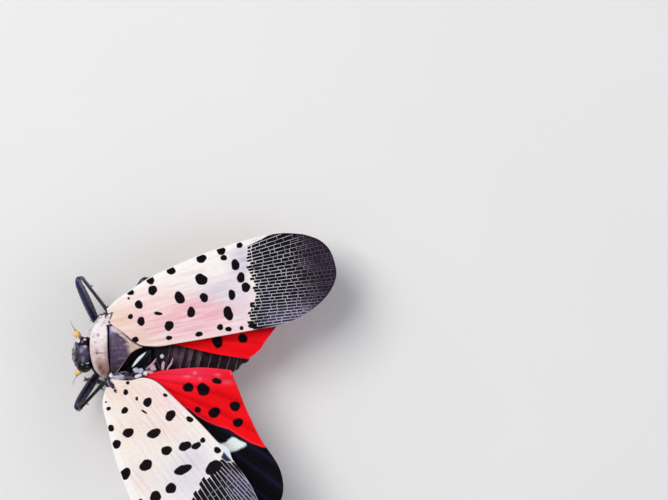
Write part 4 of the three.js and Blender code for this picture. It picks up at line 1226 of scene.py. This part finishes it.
def blob(centre, radii, seed=0, rough=0.0, turn=0.0, bands=28, around=36):
    """A closed rounded lump, turned about Z, its surface uneven by the roughness."""
    down = np.linspace(0.02, math.pi - 0.02, bands)
    round_it = np.arange(around) * 2 * math.pi / around
    down, round_it = np.meshgrid(down, round_it, indexing="ij")
    ball = np.stack([np.sin(down) * np.cos(round_it), np.sin(down) * np.sin(round_it), np.cos(down)], -1)
    if rough:
        broad, fine = ripple(ball, 1.6, seed), ripple(ball, 0.7, seed + 1)
        ball = ball * (1 + rough * broad + 0.5 * rough * fine)[..., None]
    ball = ball * np.array(radii)
    c, s = math.cos(math.radians(turn)), math.sin(math.radians(turn))
    ball = ball @ np.array([[c, s, 0], [-s, c, 0], [0, 0, 1]])
    return lofted(ball + np.array(centre))


HEAD_MIDLINE = -0.4
HEAD_STATIONS = [
    # height, front x, back x, half width, power
    (6.1, -2.8, -2.2, 0.3, 2.2),
    (6.05, -3.1, -1.9, 0.68, 2.2),
    (5.92, -3.27, -1.72, 0.84, 2.3),
    (5.6, -3.36, -1.66, 0.94, 2.5),
    (5.1, -3.4, -1.7, 1.0, 2.7),
    (4.6, -3.38, -1.8, 1.08, 2.8),
    (4.1, -3.32, -2.02, 1.12, 2.9),
    (3.6, -3.2, -2.08, 0.98, 2.8),
    (3.2, -3.08, -2.15, 0.76, 2.6),
    (2.9, -3.0, -2.2, 0.56, 2.4),
    (2.65, -2.96, -2.24, 0.44, 2.2),
    (2.4, -2.8, -2.2, 0.34, 2.0),
    (2.15, -2.5, -2.1, 0.22, 2.0),
    (2.05, -2.35, -2.15, 0.08, 2.0),
]


# Marks and painted highlights on the crown: place in the photograph, reach in mm, colour, strength. The pale
# lavender, plum and bluish patches are painted highlights; the dark ones are the crown's own marks.
CROWN_MARKS_AND_HIGHLIGHTS = [
    ((79.5, 364.5), (0.42, 0.4), srgb(20, 16, 20), 0.9),
    ((80.5, 343.6), (0.34, 0.2), srgb(18, 11, 28), 0.9),
    ((75.6, 351.5), (0.2, 0.4), srgb(70, 54, 78), 0.6),
    ((79.8, 357.4), (0.12, 0.12), srgb(16, 12, 24), 0.85),
    ((85.2, 354.0), (0.34, 0.36), srgb(92, 76, 104), 0.75),
    ((84.6, 346.0), (0.17, 0.26), srgb(200, 190, 218), 0.9),
    ((81.2, 350.6), (0.15, 0.32), srgb(160, 150, 180), 0.85),
    ((82.6, 359.0), (0.15, 0.34), srgb(130, 130, 158), 0.8),
    ((85.8, 348.9), (0.1, 0.1), srgb(40, 30, 52), 0.6),
]


def head():
    """Head capsule: a flat crown with a raised rim, a face with keels, and the clypeus below."""
    rings, around = HEAD_GRID
    line = smooth_line(HEAD_STATIONS)(np.linspace(0, 1, rings))
    angle = np.arange(around) * 2 * math.pi / around
    z, front, back, wide, power = (line[:, i, None] for i in range(5))
    along, across = superellipse(angle[None], power)
    x = (front + back) / 2 + along * (back - front) / 2
    y = HEAD_MIDLINE + across * wide
    points = np.stack([x, y, z + 0 * x], -1)
    outward = np.stack([along, across, 0.9 * ease(z, 5.3, 6.1) + 0 * along], -1)
    outward /= np.linalg.norm(outward, axis=-1)[..., None]
    off = y - HEAD_MIDLINE
    face = ease(-along, 0.2, 0.7) * ease(z, 2.7, 3.1)
    keels = peak(off, 0, 0.05)
    keels = keels + peak(np.abs(off), 0.5 * wide / 1.3, 0.06) + peak(np.abs(off), 0.88 * wide, 0.07)
    relief = 0.1 * face * keels * (1 - ease(z, 4.8, 5.6))
    crown = ease(z, 5.7, 6.0)
    relief = relief + 0.06 * crown * peak(x, -3.15 + 0.2 * off * off, 0.1)
    relief = relief - 0.1 * crown * peak(x, -2.75, 0.25) * (peak(np.abs(off), 0.5, 0.35))
    relief = relief - 0.05 * peak(z, 2.98, 0.06) + 0.05 * crown * peak(off, 0, 0.06)
    relief = relief + 0.035 * ripple(points, 0.5, 41) * (0.4 + 0.6 * crown) + 0.015 * ripple(points, 0.2, 42)
    points = points + outward * relief[..., None]
    tint = plain(SLATE, points)
    tint = blend(tint, srgb(22, 17, 26), 0.8 * ease(-ripple(points, 0.5, 44), 0.1, 0.9))
    upper = ease(z + 0.06 * ripple(points, 0.3, 43), 5.4, 5.8)
    # The crown's marks and its painted highlights go on its upper part.
    tint = blend(tint, washed(points[..., :2], tint, CROWN_MARKS_AND_HIGHLIGHTS), upper)
    tint = painted(tint, [
        (srgb(112, 104, 128), 0.5 * face * np.clip(keels, 0, 1)),
        (srgb(24, 19, 28), 0.6 * face * peak(np.abs(off), 0.26 * wide, 0.12)),
        (srgb(18, 13, 20), 0.85 * ease(np.abs(off), 0.8, 1.0) * (1 - crown)),
    ])
    rim = peak(x, -3.2 + 0.25 * off * off, 0.1) * (1 - ease(np.abs(off - 0.15), 0.55, 0.75))
    mottled = ease(ripple(points, 0.3, 45), -0.3, 0.4)
    tint = painted(tint, [
        (srgb(158, 150, 142), 0.8 * ease(z, 5.5, 5.8) * rim * mottled),
        (srgb(28, 24, 32), 1 - ease(z, 2.9, 3.4)),
    ])
    skin, faces = lofted(points)
    tint = np.concatenate([tint.reshape(-1, 3), np.tile(SLATE, (2, 1))])
    make_piece("head_skin", Shape().add(skin, faces, tint=tint), HEAD_SHELL, ["head", "clypeus"])


EYE_X = -2.34
EYE_ASIDE = 1.0
EYE_HEIGHT = 5.27
EYE_RADII = (0.7, 0.64, 0.7)


def eyes():
    """Two round faceted eyes at the sides of the head."""
    for side, word in ((1, "right"), (-1, "left")):
        centre = (EYE_X, HEAD_MIDLINE + side * EYE_ASIDE, EYE_HEIGHT)
        points, faces = blob(centre, EYE_RADII, bands=60, around=80)
        bands = ease(np.sin(points[:, 2] * 9 + points[:, 0] * 3), 0.5, 1.0)
        tint = blend(plain(srgb(11, 7, 13), points), srgb(36, 24, 34), 0.6 * bands)
        shape = Shape().add(points, faces, tint=tint)
        make_piece(f"eye_{word}_facets", shape, EYE_SHELL, [f"eye_{word}"])


# Pale warts on the crown's front rim and beside the eyes: centre, radii, colour. The last, lilac lump on top
# of the left eye is a painted highlight.
WART_GREY = srgb(178, 170, 166)
WART_PINK = srgb(236, 220, 228)
EYE_GLINT_LILAC = srgb(190, 178, 204)
HEAD_WARTS_AND_GLINT = [
    ((-3.15, 0.2, 5.92), (0.12, 0.25, 0.09), WART_GREY),
    ((-3.1, -0.05, 6.0), (0.08, 0.1, 0.06), WART_GREY),
    ((-3.19, -0.72, 5.88), (0.12, 0.24, 0.09), WART_GREY),
    ((-3.1, -0.98, 5.88), (0.08, 0.1, 0.07), WART_GREY),
    ((-2.2, 1.2, 5.72), (0.2, 0.11, 0.12), WART_PINK),
    ((-2.26, 0.9, 5.9), (0.15, 0.09, 0.09), WART_PINK),
    ((-2.82, 0.78, 5.75), (0.2, 0.2, 0.12), WART_PINK),
    # Painted highlight: a lilac lump that stands in for a reflection on the left eye.
    ((-2.16, -1.16, 5.85), (0.3, 0.14, 0.07), EYE_GLINT_LILAC),
]


def head_warts_and_glint():
    shape = Shape()
    for k, (centre, radii, tint) in enumerate(HEAD_WARTS_AND_GLINT):
        shape.add(*blob(centre, radii, seed=46 + k, rough=0.12, bands=18, around=24), tint=tint)
    make_piece("head_warts_and_glint", shape, PALE_SHELL)


ANTENNA_BULBS = {"right": (-3.02, 1.36, 4.4), "left": (-2.86, -1.95, 4.2)}
BULB_ORANGE = srgb(244, 164, 68)
BULB_HIGHLIGHT = srgb(255, 214, 140)


def antennae():
    """A pale first joint, a swollen orange second one and a fine dark bristle."""
    for word, side in (("right", 1), ("left", -1)):
        centre = np.array(ANTENNA_BULBS[word])
        shape = Shape()
        socket = centre + np.array([0.3, -0.66 * side, 0.1])
        first_joint = blob((socket + centre * 0.6) / 1.6, (0.2, 0.22, 0.22), seed=50, rough=0.03)
        shape.add(*first_joint, tint=srgb(232, 212, 212))
        stalk = even_steps(np.array([socket, (socket + centre) / 2, centre]), 0.04)
        shape.add(*tube(stalk, 0.14, sides=20), tint=srgb(190, 160, 160))
        points, faces = blob(centre, (0.3, 0.41, 0.3), seed=51, rough=0.02, turn=45 * side)
        # Painted highlight: the bulb turns lighter and yellower towards its top.
        lit = ease(points[:, 2] - centre[2], 0.0, 0.3)
        shape.add(points, faces, tint=blend(plain(BULB_ORANGE, points), BULB_HIGHLIGHT, lit))
        tip = centre + np.array([-0.45, side, 0.1]) / 1.1 * 0.4
        shape.add(*blob(tip, (0.07, 0.09, 0.07), bands=12, around=16), tint=srgb(60, 34, 20))
        bends = [[0, 0, 0], [-0.25, 0.45 * side, 0.08], [-0.42, 0.9 * side, 0.02]]
        bristle = smooth_line(tip + np.array(bends))(np.linspace(0, 1, 24))
        shape.add(*tube(bristle, np.linspace(0.028, 0.008, 24), sides=8), tint=srgb(30, 22, 24))
        make_piece(f"antenna_{word}_joints", shape, ORANGE_SHELL, [f"antenna_{word}"])


BEAK_LINE = [(-2.35, -0.3, 2.2), (-1.75, -0.25, 2.12), (-0.6, -0.15, 2.08), (0.8, -0.05, 2.06),
             (2.0, 0.0, 2.08)]


def beak():
    """The jointed beak that lies back between the hips."""
    share = np.linspace(0, 1, 150)
    path = smooth_line(BEAK_LINE)(share)
    radii = 0.26 - 0.1 * share - 0.07 * peak(share, 0.3, 0.02) - 0.06 * peak(share, 0.66, 0.02)
    radii = radii * (1 - ease(share, 0.97, 1.0) * 0.8)
    points, faces = tube(path, radii, sides=24, section=lambda a: 1 - 0.22 * peak(np.sin(a), 1, 0.2))
    tint = blend(plain(srgb(44, 32, 38), points), srgb(140, 96, 60), ease(points[:, 0], 1.2, 1.9))
    shape = Shape().add(points, faces, tint=tint)
    make_piece("rostrum_joints", shape, DARK_SHELL, ["rostrum"])


# The right scale's edges in the photograph: along the wing's costa, and along its root.
TEGULA_FRONT = [(104.2, 316.6), (108.2, 313.6), (112.4, 311.9)]
TEGULA_REAR = [(105.8, 321.4), (108.2, 322.4), (110.2, 321.9)]
TEGULA_LEFT_PLACE = (108, 384)
TEGULA_LEFT_HEIGHT = 6.3


def tegulae():
    """The small scale over each forewing's hinge."""
    plan, u, v = plate_points(photo_line(TEGULA_FRONT), photo_line(TEGULA_REAR), TEGULA_GRID)
    inward = plate_inward(plan)
    top = 6.17 - 0.45 * (plan[..., 0] - 0.25) ** 2 + 0.05 * ease(inward, 0.05, 0.25)
    tint = plain(srgb(240, 220, 228), plan)
    tint = blend(tint, srgb(176, 140, 164), 0.6 * peak(v - 0.5 * u, 0.2, 0.15))
    rim = 1 - ease(inward, 0.07, 0.13)
    tint = blend(tint, srgb(40, 40, 66), 0.95 * rim * np.maximum(1 - ease(v, 0.3, 0.5), ease(u, 0.3, 0.5)))
    make_plate("tegula_right_scale", plan, top, TEGULA_SHELL, tint, PALE_SHELL, ["tegula_right"])
    centre = (*from_photo(*TEGULA_LEFT_PLACE), TEGULA_LEFT_HEIGHT)
    points, faces = blob(centre, (0.26, 0.4, 0.18), seed=61, rough=0.06, turn=30, bands=40, around=50)
    streak = peak(points[:, 0] + 0.4 * points[:, 1], centre[0] + 0.4 * centre[1] + 0.06, 0.07)
    tint = blend(plain(srgb(30, 20, 34), points), srgb(158, 144, 178), 0.8 * streak)
    shape = Shape().add(points, faces, tint=tint)
    make_piece("tegula_left_scale", shape, PALE_SHELL, ["tegula_left"])


# Legs

LEGS = {
    # hip, trochanter, knee, ankle, toe, spines on the shin
    "front_right": [(-1.0, 1.2, 2.5), (-1.1, 1.8, 2.25), (-2.92, 6.08, 5.2), (-0.45, 3.45, 1.2),
                    (-1.75, 2.75, 0.2), 2],
    "front_left": [(-0.95, -1.25, 2.48), (-1.05, -1.85, 2.25), (-3, -4.95, 5), (-1, -3.3, 1.2),
                   (-2.3, -2.75, 0.2), 2],
    "middle_right": [(0.9, 1.5, 2.05), (0.98, 2.1, 1.85), (2.85, 6.15, 4.2), (6, 6.5, 1.2),
                     (7.4, 7.1, 0.2), 3],
    "middle_left": [(0.9, -1.5, 2.05), (0.98, -2.1, 1.85), (1.7, -6.3, 4.6), (4.3, -8.2, 1.2),
                    (5.5, -9.2, 0.2), 3],
    "hind_right": [(2.7, 1.4, 2.05), (2.9, 2.0, 1.85), (6.4, 4.9, 3.8), (12.2, 6.6, 1.2),
                   (13.7, 7.2, 0.2), 5],
    "hind_left": [(2.7, -1.4, 2.05), (2.9, -2.0, 1.85), (5.6, -5.6, 4.1), (10.5, -6.85, 1.2),
                  (12.0, -7.45, 0.2), 5],
}
SHIN_OFFSET = 0.68
FOOT_HEIGHT = 0.19
ANKLE_SPINES = 7
LEG_HAIRS = 60
HIND_LEG_HAIRS = 90
LEG_BLACK = srgb(14, 14, 26)
# Painted reflections on the legs: a blue sky sheen and a pale glint.
LEG_SKY_SHEEN = srgb(48, 54, 98)
LEG_GLINT = srgb(128, 126, 152)


def unit(vector):
    return vector / np.linalg.norm(vector)


def leg_lines(leg):
    """Middle line with radius of a leg, and the places that its spines and claws need."""
    hip, trochanter, knee, ankle, toe = (np.array(p, float) for p in leg[:5])
    thigh, shank = unit(knee - trochanter), unit(ankle - knee)
    aside = unit(shank - thigh * (shank @ thigh))
    shin = knee + aside * SHIN_OFFSET
    foot = ankle + unit(ankle - shin) * 0.5
    forward = unit((toe - foot) * [1, 1, 0])
    reach = np.linalg.norm((toe - foot)[:2])

    def on_foot(share, radius, lift=0.0):
        return (*(foot + forward * reach * share)[:2], FOOT_HEIGHT + lift, radius)

    def between(a, b, share, radius):
        return (*(a + (b - a) * share), radius)

    stations = [
        between(hip, trochanter, -0.5, 0.45), between(hip, trochanter, 0.1, 0.52),
        between(hip, trochanter, 0.62, 0.42), between(hip, trochanter, 0.86, 0.27),
        between(trochanter, knee, 0.04, 0.3), between(trochanter, knee, 0.1, 0.26),
        between(trochanter, knee, 0.28, 0.34), between(trochanter, knee, 0.55, 0.38),
        between(trochanter, knee, 0.82, 0.34), between(trochanter, knee, 0.95, 0.27),
        (*(knee + thigh * 0.02 + aside * 0.2), 0.25), (*(knee + aside * 0.45 + shank * 0.05), 0.2),
        between(shin, ankle, 0.06, 0.17), between(shin, ankle, 0.2, 0.16), between(shin, ankle, 0.5, 0.165),
        between(shin, ankle, 0.8, 0.17), between(shin, ankle, 0.94, 0.2), between(shin, ankle, 1.02, 0.21),
        (*(ankle * 0.6 + foot * 0.4), 0.15),
        (*(foot * [1, 1, 0] + [0, 0, max(0.42, (ankle[2] + 0.4) * 0.35)]), 0.17),
        on_foot(0.2, 0.2, 0.04), on_foot(0.36, 0.21), on_foot(0.4, 0.13), on_foot(0.5, 0.19),
        on_foot(0.6, 0.2), on_foot(0.64, 0.12), on_foot(0.78, 0.15), on_foot(0.94, 0.18), on_foot(1.0, 0.12),
    ]
    return stations, shin, ankle, forward, toe


def spike(root, heading, length, radius, bend=0.0, sides=10):
    """A pointed spine that bends down towards its end."""
    share = np.linspace(0, 1, 12)
    path = root + heading * (length * share)[:, None]
    path[:, 2] -= bend * length * share**2
    return tube(path, radius * (1 - share) ** 0.8 + 0.004, sides=sides)


def shin_section(angle):
    """A leg's outline round its middle line, as shares of its radius."""
    return 1 + 0.07 * np.cos(2 * angle) + 0.03 * np.cos(4 * angle)


def leg(name, seed):
    stations, shin, ankle, forward, toe = leg_lines(LEGS[name])
    side = 1 if name.endswith("right") else -1
    line = even_steps(smooth_line(stations)(np.linspace(0, 1, 2400)), 0.035)
    path, radii = line[:, :3], line[:, 3]
    points, faces = tube(path, radii, sides=36, section=shin_section)
    points = points + 0.008 * ripple(points, 0.35, seed)[:, None]
    points[:, 2] = np.maximum(points[:, 2], 0.004)
    outward = (points[:-2].reshape(len(path), -1, 3) - path[:, None]) / radii[:, None, None]
    outward = np.concatenate([outward.reshape(-1, 3), np.zeros((2, 3))])
    tint = plain(LEG_BLACK, points)
    # Painted sheen and highlight: blue where the skin faces up and forward, a pale glint where it faces up
    # and back, strongest on the right foreleg.
    sheen = 0.8 if name == "front_right" else 0.35
    tint = painted(tint, [
        (LEG_SKY_SHEEN, sheen * ease(outward @ unit(np.array([-0.5, 0.0, 0.87])), 0.3, 0.95)),
        (LEG_GLINT, sheen * peak(outward @ unit(np.array([0.6, 0.0, 0.8])), 1.0, 0.1)),
    ])
    shape = Shape().add(points, faces, tint=tint)
    shank = unit(ankle - shin)
    sideways = unit(np.cross(shank, [0, 0, 1]))
    sideways = sideways * (1 if sideways[1] * side > 0 else -1)
    draw = np.random.default_rng(seed)
    count = LEGS[name][5]
    for i in range(count):
        share = 0.3 + 0.62 * (i / max(count - 1, 1))
        root = shin + (ankle - shin) * share
        stagger = 0.35 * (1 if i % 2 else -1)
        out = unit(sideways * math.cos(stagger) + np.array([0, 0, 1]) * math.sin(stagger) + shank * 0.55)
        shape.add(*spike(root, out, 0.52 + 0.05 * i, 0.1, bend=-0.05), tint=srgb(30, 26, 34))
    upright = np.cross(shank, sideways)
    for i in range(ANKLE_SPINES):
        turn = i * 2 * math.pi / ANKLE_SPINES
        out = unit(shank * 0.9 + sideways * math.cos(turn) * 0.5 + upright * math.sin(turn) * 0.5)
        shape.add(*spike(ankle, out, 0.4, 0.05), tint=srgb(40, 32, 36))
    for _ in range(HIND_LEG_HAIRS if "hind" in name else LEG_HAIRS):
        k = int(draw.uniform(0.12, 0.86) * (len(path) - 2))
        heading = unit(path[k + 1] - path[k])
        spread = draw.normal(size=3)
        out = unit(spread - heading * (spread @ heading))
        root = path[k] + out * radii[k] * 0.85
        if root[2] > 0.5:
            shape.add(*spike(root, unit(out + heading * 0.9), draw.uniform(0.14, 0.26), 0.012, sides=4),
                      tint=srgb(52, 44, 50))
    make_piece(f"leg_{name}", shape, LEG_SHELL, [f"femur_{name}", f"tibia_{name}", f"tarsus_{name}"])
    claws = Shape()
    tip = np.array([*toe[:2], FOOT_HEIGHT])
    for way in (-1, 1):
        c, s = math.cos(0.5 * way), math.sin(0.5 * way)
        out = np.array([forward[0] * c - forward[1] * s, forward[0] * s + forward[1] * c, 0.25])
        claws.add(*spike(tip, unit(out), 0.42, 0.075, bend=0.45), tint=srgb(62, 36, 26))
    claws.add(*blob(tip + forward * 0.14 - [0, 0, 0.04], (0.13, 0.13, 0.12), bands=16, around=20),
              tint=srgb(96, 74, 66))
    make_piece(f"claws_{name}", claws, CLAW_SHELL)


HINGE_STALKS = [
    ((0.3, 1.9, 5.3), (-0.1, 2.95, 5.95)),
    ((0.2, -2.0, 5.3), (-0.2, -2.8, 6.2)),
    ((2.9, 1.7, 5.1), (3.3, 1.8, 5.7)),
    ((2.6, -1.9, 5.0), (3.0, -2.7, 5.9)),
]


def wing_roots():
    """Hinge stalks that carry the four wings."""
    shape = Shape()
    for start, end in HINGE_STALKS:
        a, b = np.array(start), np.array(end)
        path = a + (b - a) * np.linspace(-0.3, 1, 30)[:, None]
        points, faces = tube(path, np.linspace(0.42, 0.24, 30), sides=24)
        points = points + 0.03 * ripple(points, 0.5, 71)[:, None]
        shape.add(points, faces, tint=srgb(64, 46, 56))
    make_piece("wing_roots", shape, DARK_SHELL)


WAX_BLUE = srgb(186, 192, 212)
WAX_WHITE = srgb(240, 232, 244)
FOLD_MAUVE = srgb(104, 84, 108)
FOLD_PINK = srgb(206, 166, 180)
FOLD_AND_SHADE_DARK = srgb(36, 24, 38)
# Waxy lumps between the wing bases: place in the photograph, height, radii, turn and colour.
HINGE_LUMPS = [
    (110.8, 376.2, 6.0, 0.2, 0.27, 0.2, 0, WAX_WHITE),
    (118.6, 378, 6.05, 0.5, 0.22, 0.2, 8, WAX_BLUE),
    (122, 376.2, 6.0, 0.24, 0.14, 0.2, 30, WAX_BLUE),
    (113.8, 380.6, 6.1, 0.18, 0.26, 0.2, -20, WAX_WHITE),
    (126.6, 375.4, 5.9, 0.3, 0.22, 0.2, 20, FOLD_AND_SHADE_DARK),
    (136.6, 370.4, 5.95, 0.36, 0.22, 0.24, -4, WAX_BLUE),
    (140.6, 371.2, 5.95, 0.26, 0.24, 0.22, 30, WAX_BLUE),
    (138.1, 376.4, 6.0, 0.34, 0.17, 0.2, -18, WAX_WHITE),
    (143, 378.6, 5.95, 0.36, 0.2, 0.2, 20, FOLD_AND_SHADE_DARK),
    (145.2, 373.4, 5.95, 0.2, 0.22, 0.18, -30, WAX_WHITE),
    (152.8, 368.2, 5.7, 0.26, 0.3, 0.2, -25, FOLD_PINK),
    (161.6, 356.4, 5.5, 0.19, 0.2, 0.14, 0, WAX_WHITE),
    (163, 365.6, 5.5, 0.17, 0.44, 0.16, 6, FOLD_PINK),
    (149, 372.5, 5.85, 0.34, 0.16, 0.16, 10, FOLD_PINK),
    (106.8, 380.6, 6.15, 0.3, 0.2, 0.2, 30, FOLD_AND_SHADE_DARK),
    (112.6, 386.4, 6.44, 0.19, 0.4, 0.16, -30, FOLD_AND_SHADE_DARK),
    (115.6, 391, 6.6, 0.14, 0.22, 0.12, -36, FOLD_AND_SHADE_DARK),
    (118.6, 380.2, 6.26, 0.46, 0.2, 0.18, 8, WAX_BLUE),
    (111.6, 382.4, 6.34, 0.09, 0.24, 0.12, -34, WAX_BLUE),
    (107.3, 322.8, 5.78, 0.22, 0.26, 0.2, 0, WAX_WHITE),
]
# Soft folds as lines through the photograph: points, height at both ends, thickness, colour.
HINGE_FOLDS = [
    ([(112, 379), (117, 374.5), (123, 372.5), (129, 373)], 6.0, 5.85, 0.1, FOLD_MAUVE),
    ([(121, 380), (127, 377.5), (133, 378.5), (139, 380)], 6.05, 5.95, 0.12, FOLD_MAUVE),
    ([(130, 376), (133, 373), (136, 374), (141, 374)], 5.95, 5.95, 0.09, FOLD_AND_SHADE_DARK),
    ([(142, 376), (146, 371), (148, 368.5), (152, 367.5)], 5.95, 5.7, 0.11, FOLD_MAUVE),
    ([(146, 369), (149, 367), (153, 363), (156, 358.5)], 5.85, 5.45, 0.1, FOLD_PINK),
    ([(156, 359), (157.5, 364), (159.5, 368.5), (162, 371)], 5.5, 5.5, 0.09, FOLD_AND_SHADE_DARK),
    ([(157.5, 353), (160, 351.5), (163, 354), (165.5, 360), (167, 369)], 5.35, 5.5, 0.08, FOLD_AND_SHADE_DARK),
    ([(166, 371), (168.4, 367), (171, 363.5), (172.6, 358)], 5.5, 5.45, 0.09, FOLD_PINK),
]


def hinge_folds():
    """Waxy lumps and soft folds of skin among the wing bases."""
    shape = Shape()
    for k, (x, y, z, wide, long, high, turn, colour) in enumerate(HINGE_LUMPS):
        points, faces = blob((*from_photo(x, y), z), (wide, long, high), seed=80 + k, rough=0.2, turn=-turn,
                             bands=40, around=52)
        # Painted shade: each lump darkens towards its underside.
        low = 1 - ease(points[:, 2], z - 0.05, z + 0.1)
        shape.add(points, faces, tint=blend(plain(colour, points), FOLD_AND_SHADE_DARK, 0.8 * low))
    for k, (line, start, end, thick, colour) in enumerate(HINGE_FOLDS):
        rises = np.linspace(start, end, len(line))
        path = smooth_line(np.column_stack([photo_line(line), rises]))(np.linspace(0, 1, 60))
        radii = thick * np.sqrt(np.sin(np.linspace(0.08, math.pi - 0.08, 60)))
        points, faces = tube(path, radii, sides=16)
        points = points + 0.03 * ripple(points, 0.4, 120 + k)[:, None]
        shape.add(points, faces, tint=colour)
    make_piece("hinge_folds", shape, WAX)


FOREWING_SKIN = spotted_wing("forewing_skin", SPOT_BLACK)
HINDWING_SKIN = spotted_wing("hindwing_skin", SPOT_BLACK, edge=0.06)
VEIN_SKIN = vein_skin("vein_skin")
BODY_SHELL = cuticle("body_shell", rough=(0.3, 0.42), grain=0.006, shine=0.12)
HEAD_SHELL = cuticle("head_shell", rough=(0.32, 0.44), grain=0.006, pits=0.005, shine=0.2)
PALE_SHELL = cuticle("pale_shell", rough=(0.42, 0.58), mottle=0.12, pits=0.008)
DARK_SHELL = cuticle("dark_shell", rough=(0.38, 0.52), pits=0.008)
GLOSS_SHELL = cuticle("gloss_shell", rough=(0.22, 0.3), mottle=0.15, grain=0.0015, gloss=0.08, shine=0.1)
LEG_SHELL = cuticle("leg_shell", rough=(0.24, 0.36), mottle=0.2, grain=0.008, gloss=0.2)
CLAW_SHELL = cuticle("claw_shell", rough=(0.2, 0.3), mottle=0.15)
ORANGE_SHELL = cuticle("orange_shell", rough=(0.32, 0.42), mottle=0.08, pits=0.01)
EYE_SHELL = compound_eye()
WAX = waxy("wax")

trunk()
head()
eyes()
head_warts_and_glint()
antennae()
beak()
pronotum()
shoulder()
mesonotum()
metanotum()
tegulae()
wing_roots()
hinge_folds()
for number, leg_name in enumerate(LEGS):
    leg(leg_name, 100 + number)
forewing("right", RIGHT, RIGHT_FOREWING, roof_height, RIGHT_SPOTS, RIGHT_NET, RIGHT_WASHES, [], 200)
forewing("left", LEFT, LEFT_FOREWING, lifted_height, LEFT_SPOTS, LEFT_NET, LEFT_WASHES, LEFT_MARKS, 300)
hindwing("left", LEFT_HINDWING, spread_height, LEFT_HIND_SPOTS, LEFT_RED, LEFT_WHITE, HIND_WASHES, 400)
hindwing("right", RIGHT_HINDWING, folded_height, RIGHT_HIND_SPOTS, RIGHT_RED, RIGHT_WHITE, [], 500)

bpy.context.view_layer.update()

# Floor, camera and light

bpy.ops.mesh.primitive_plane_add(size=FLOOR_SIZE)
floor = bpy.context.object
floor.name = "floor"
floor.data.materials.append(pale_floor())

photo_centre = from_photo(PHOTO_WIDTH / 2, PHOTO_HEIGHT / 2) - PLAN_CENTRE[:2]
camera_data = bpy.data.cameras.new("photo_camera")
camera_data.sensor_width = CAMERA_SENSOR
camera_data.lens = CAMERA_SENSOR * CAMERA_DISTANCE * PIXELS_PER_MM / PHOTO_WIDTH
camera_data.clip_start = 0.001
camera_data.clip_end = 10
camera = bpy.data.objects.new("photo_camera", camera_data)
camera.location = (*photo_centre * MM, (BACK_HEIGHT + CAMERA_DISTANCE) * MM)
bpy.context.scene.collection.objects.link(camera)
bpy.context.scene.camera = camera


def area_lamp(name, place, size, power, colour):
    """A square lamp that faces the insect, its place and size in metres."""
    data = bpy.data.lights.new(name, "AREA")
    data.size = size
    data.energy = power
    data.color = colour
    lamp = bpy.data.objects.new(name, data)
    lamp.location = place
    lamp.rotation_euler = (-lamp.location).to_track_quat("-Z", "Y").to_euler()
    bpy.context.scene.collection.objects.link(lamp)


for lamp_name, settings in LAMPS.items():
    area_lamp(lamp_name, **settings)
world = bpy.data.worlds.new("studio")
world.use_nodes = True
sky = world.node_tree.nodes["Background"]
sky.inputs["Color"].default_value = SKY_COLOUR
sky.inputs["Strength"].default_value = SKY_STRENGTH
bpy.context.scene.world = world
bpy.context.scene.view_settings.view_transform = "Standard"
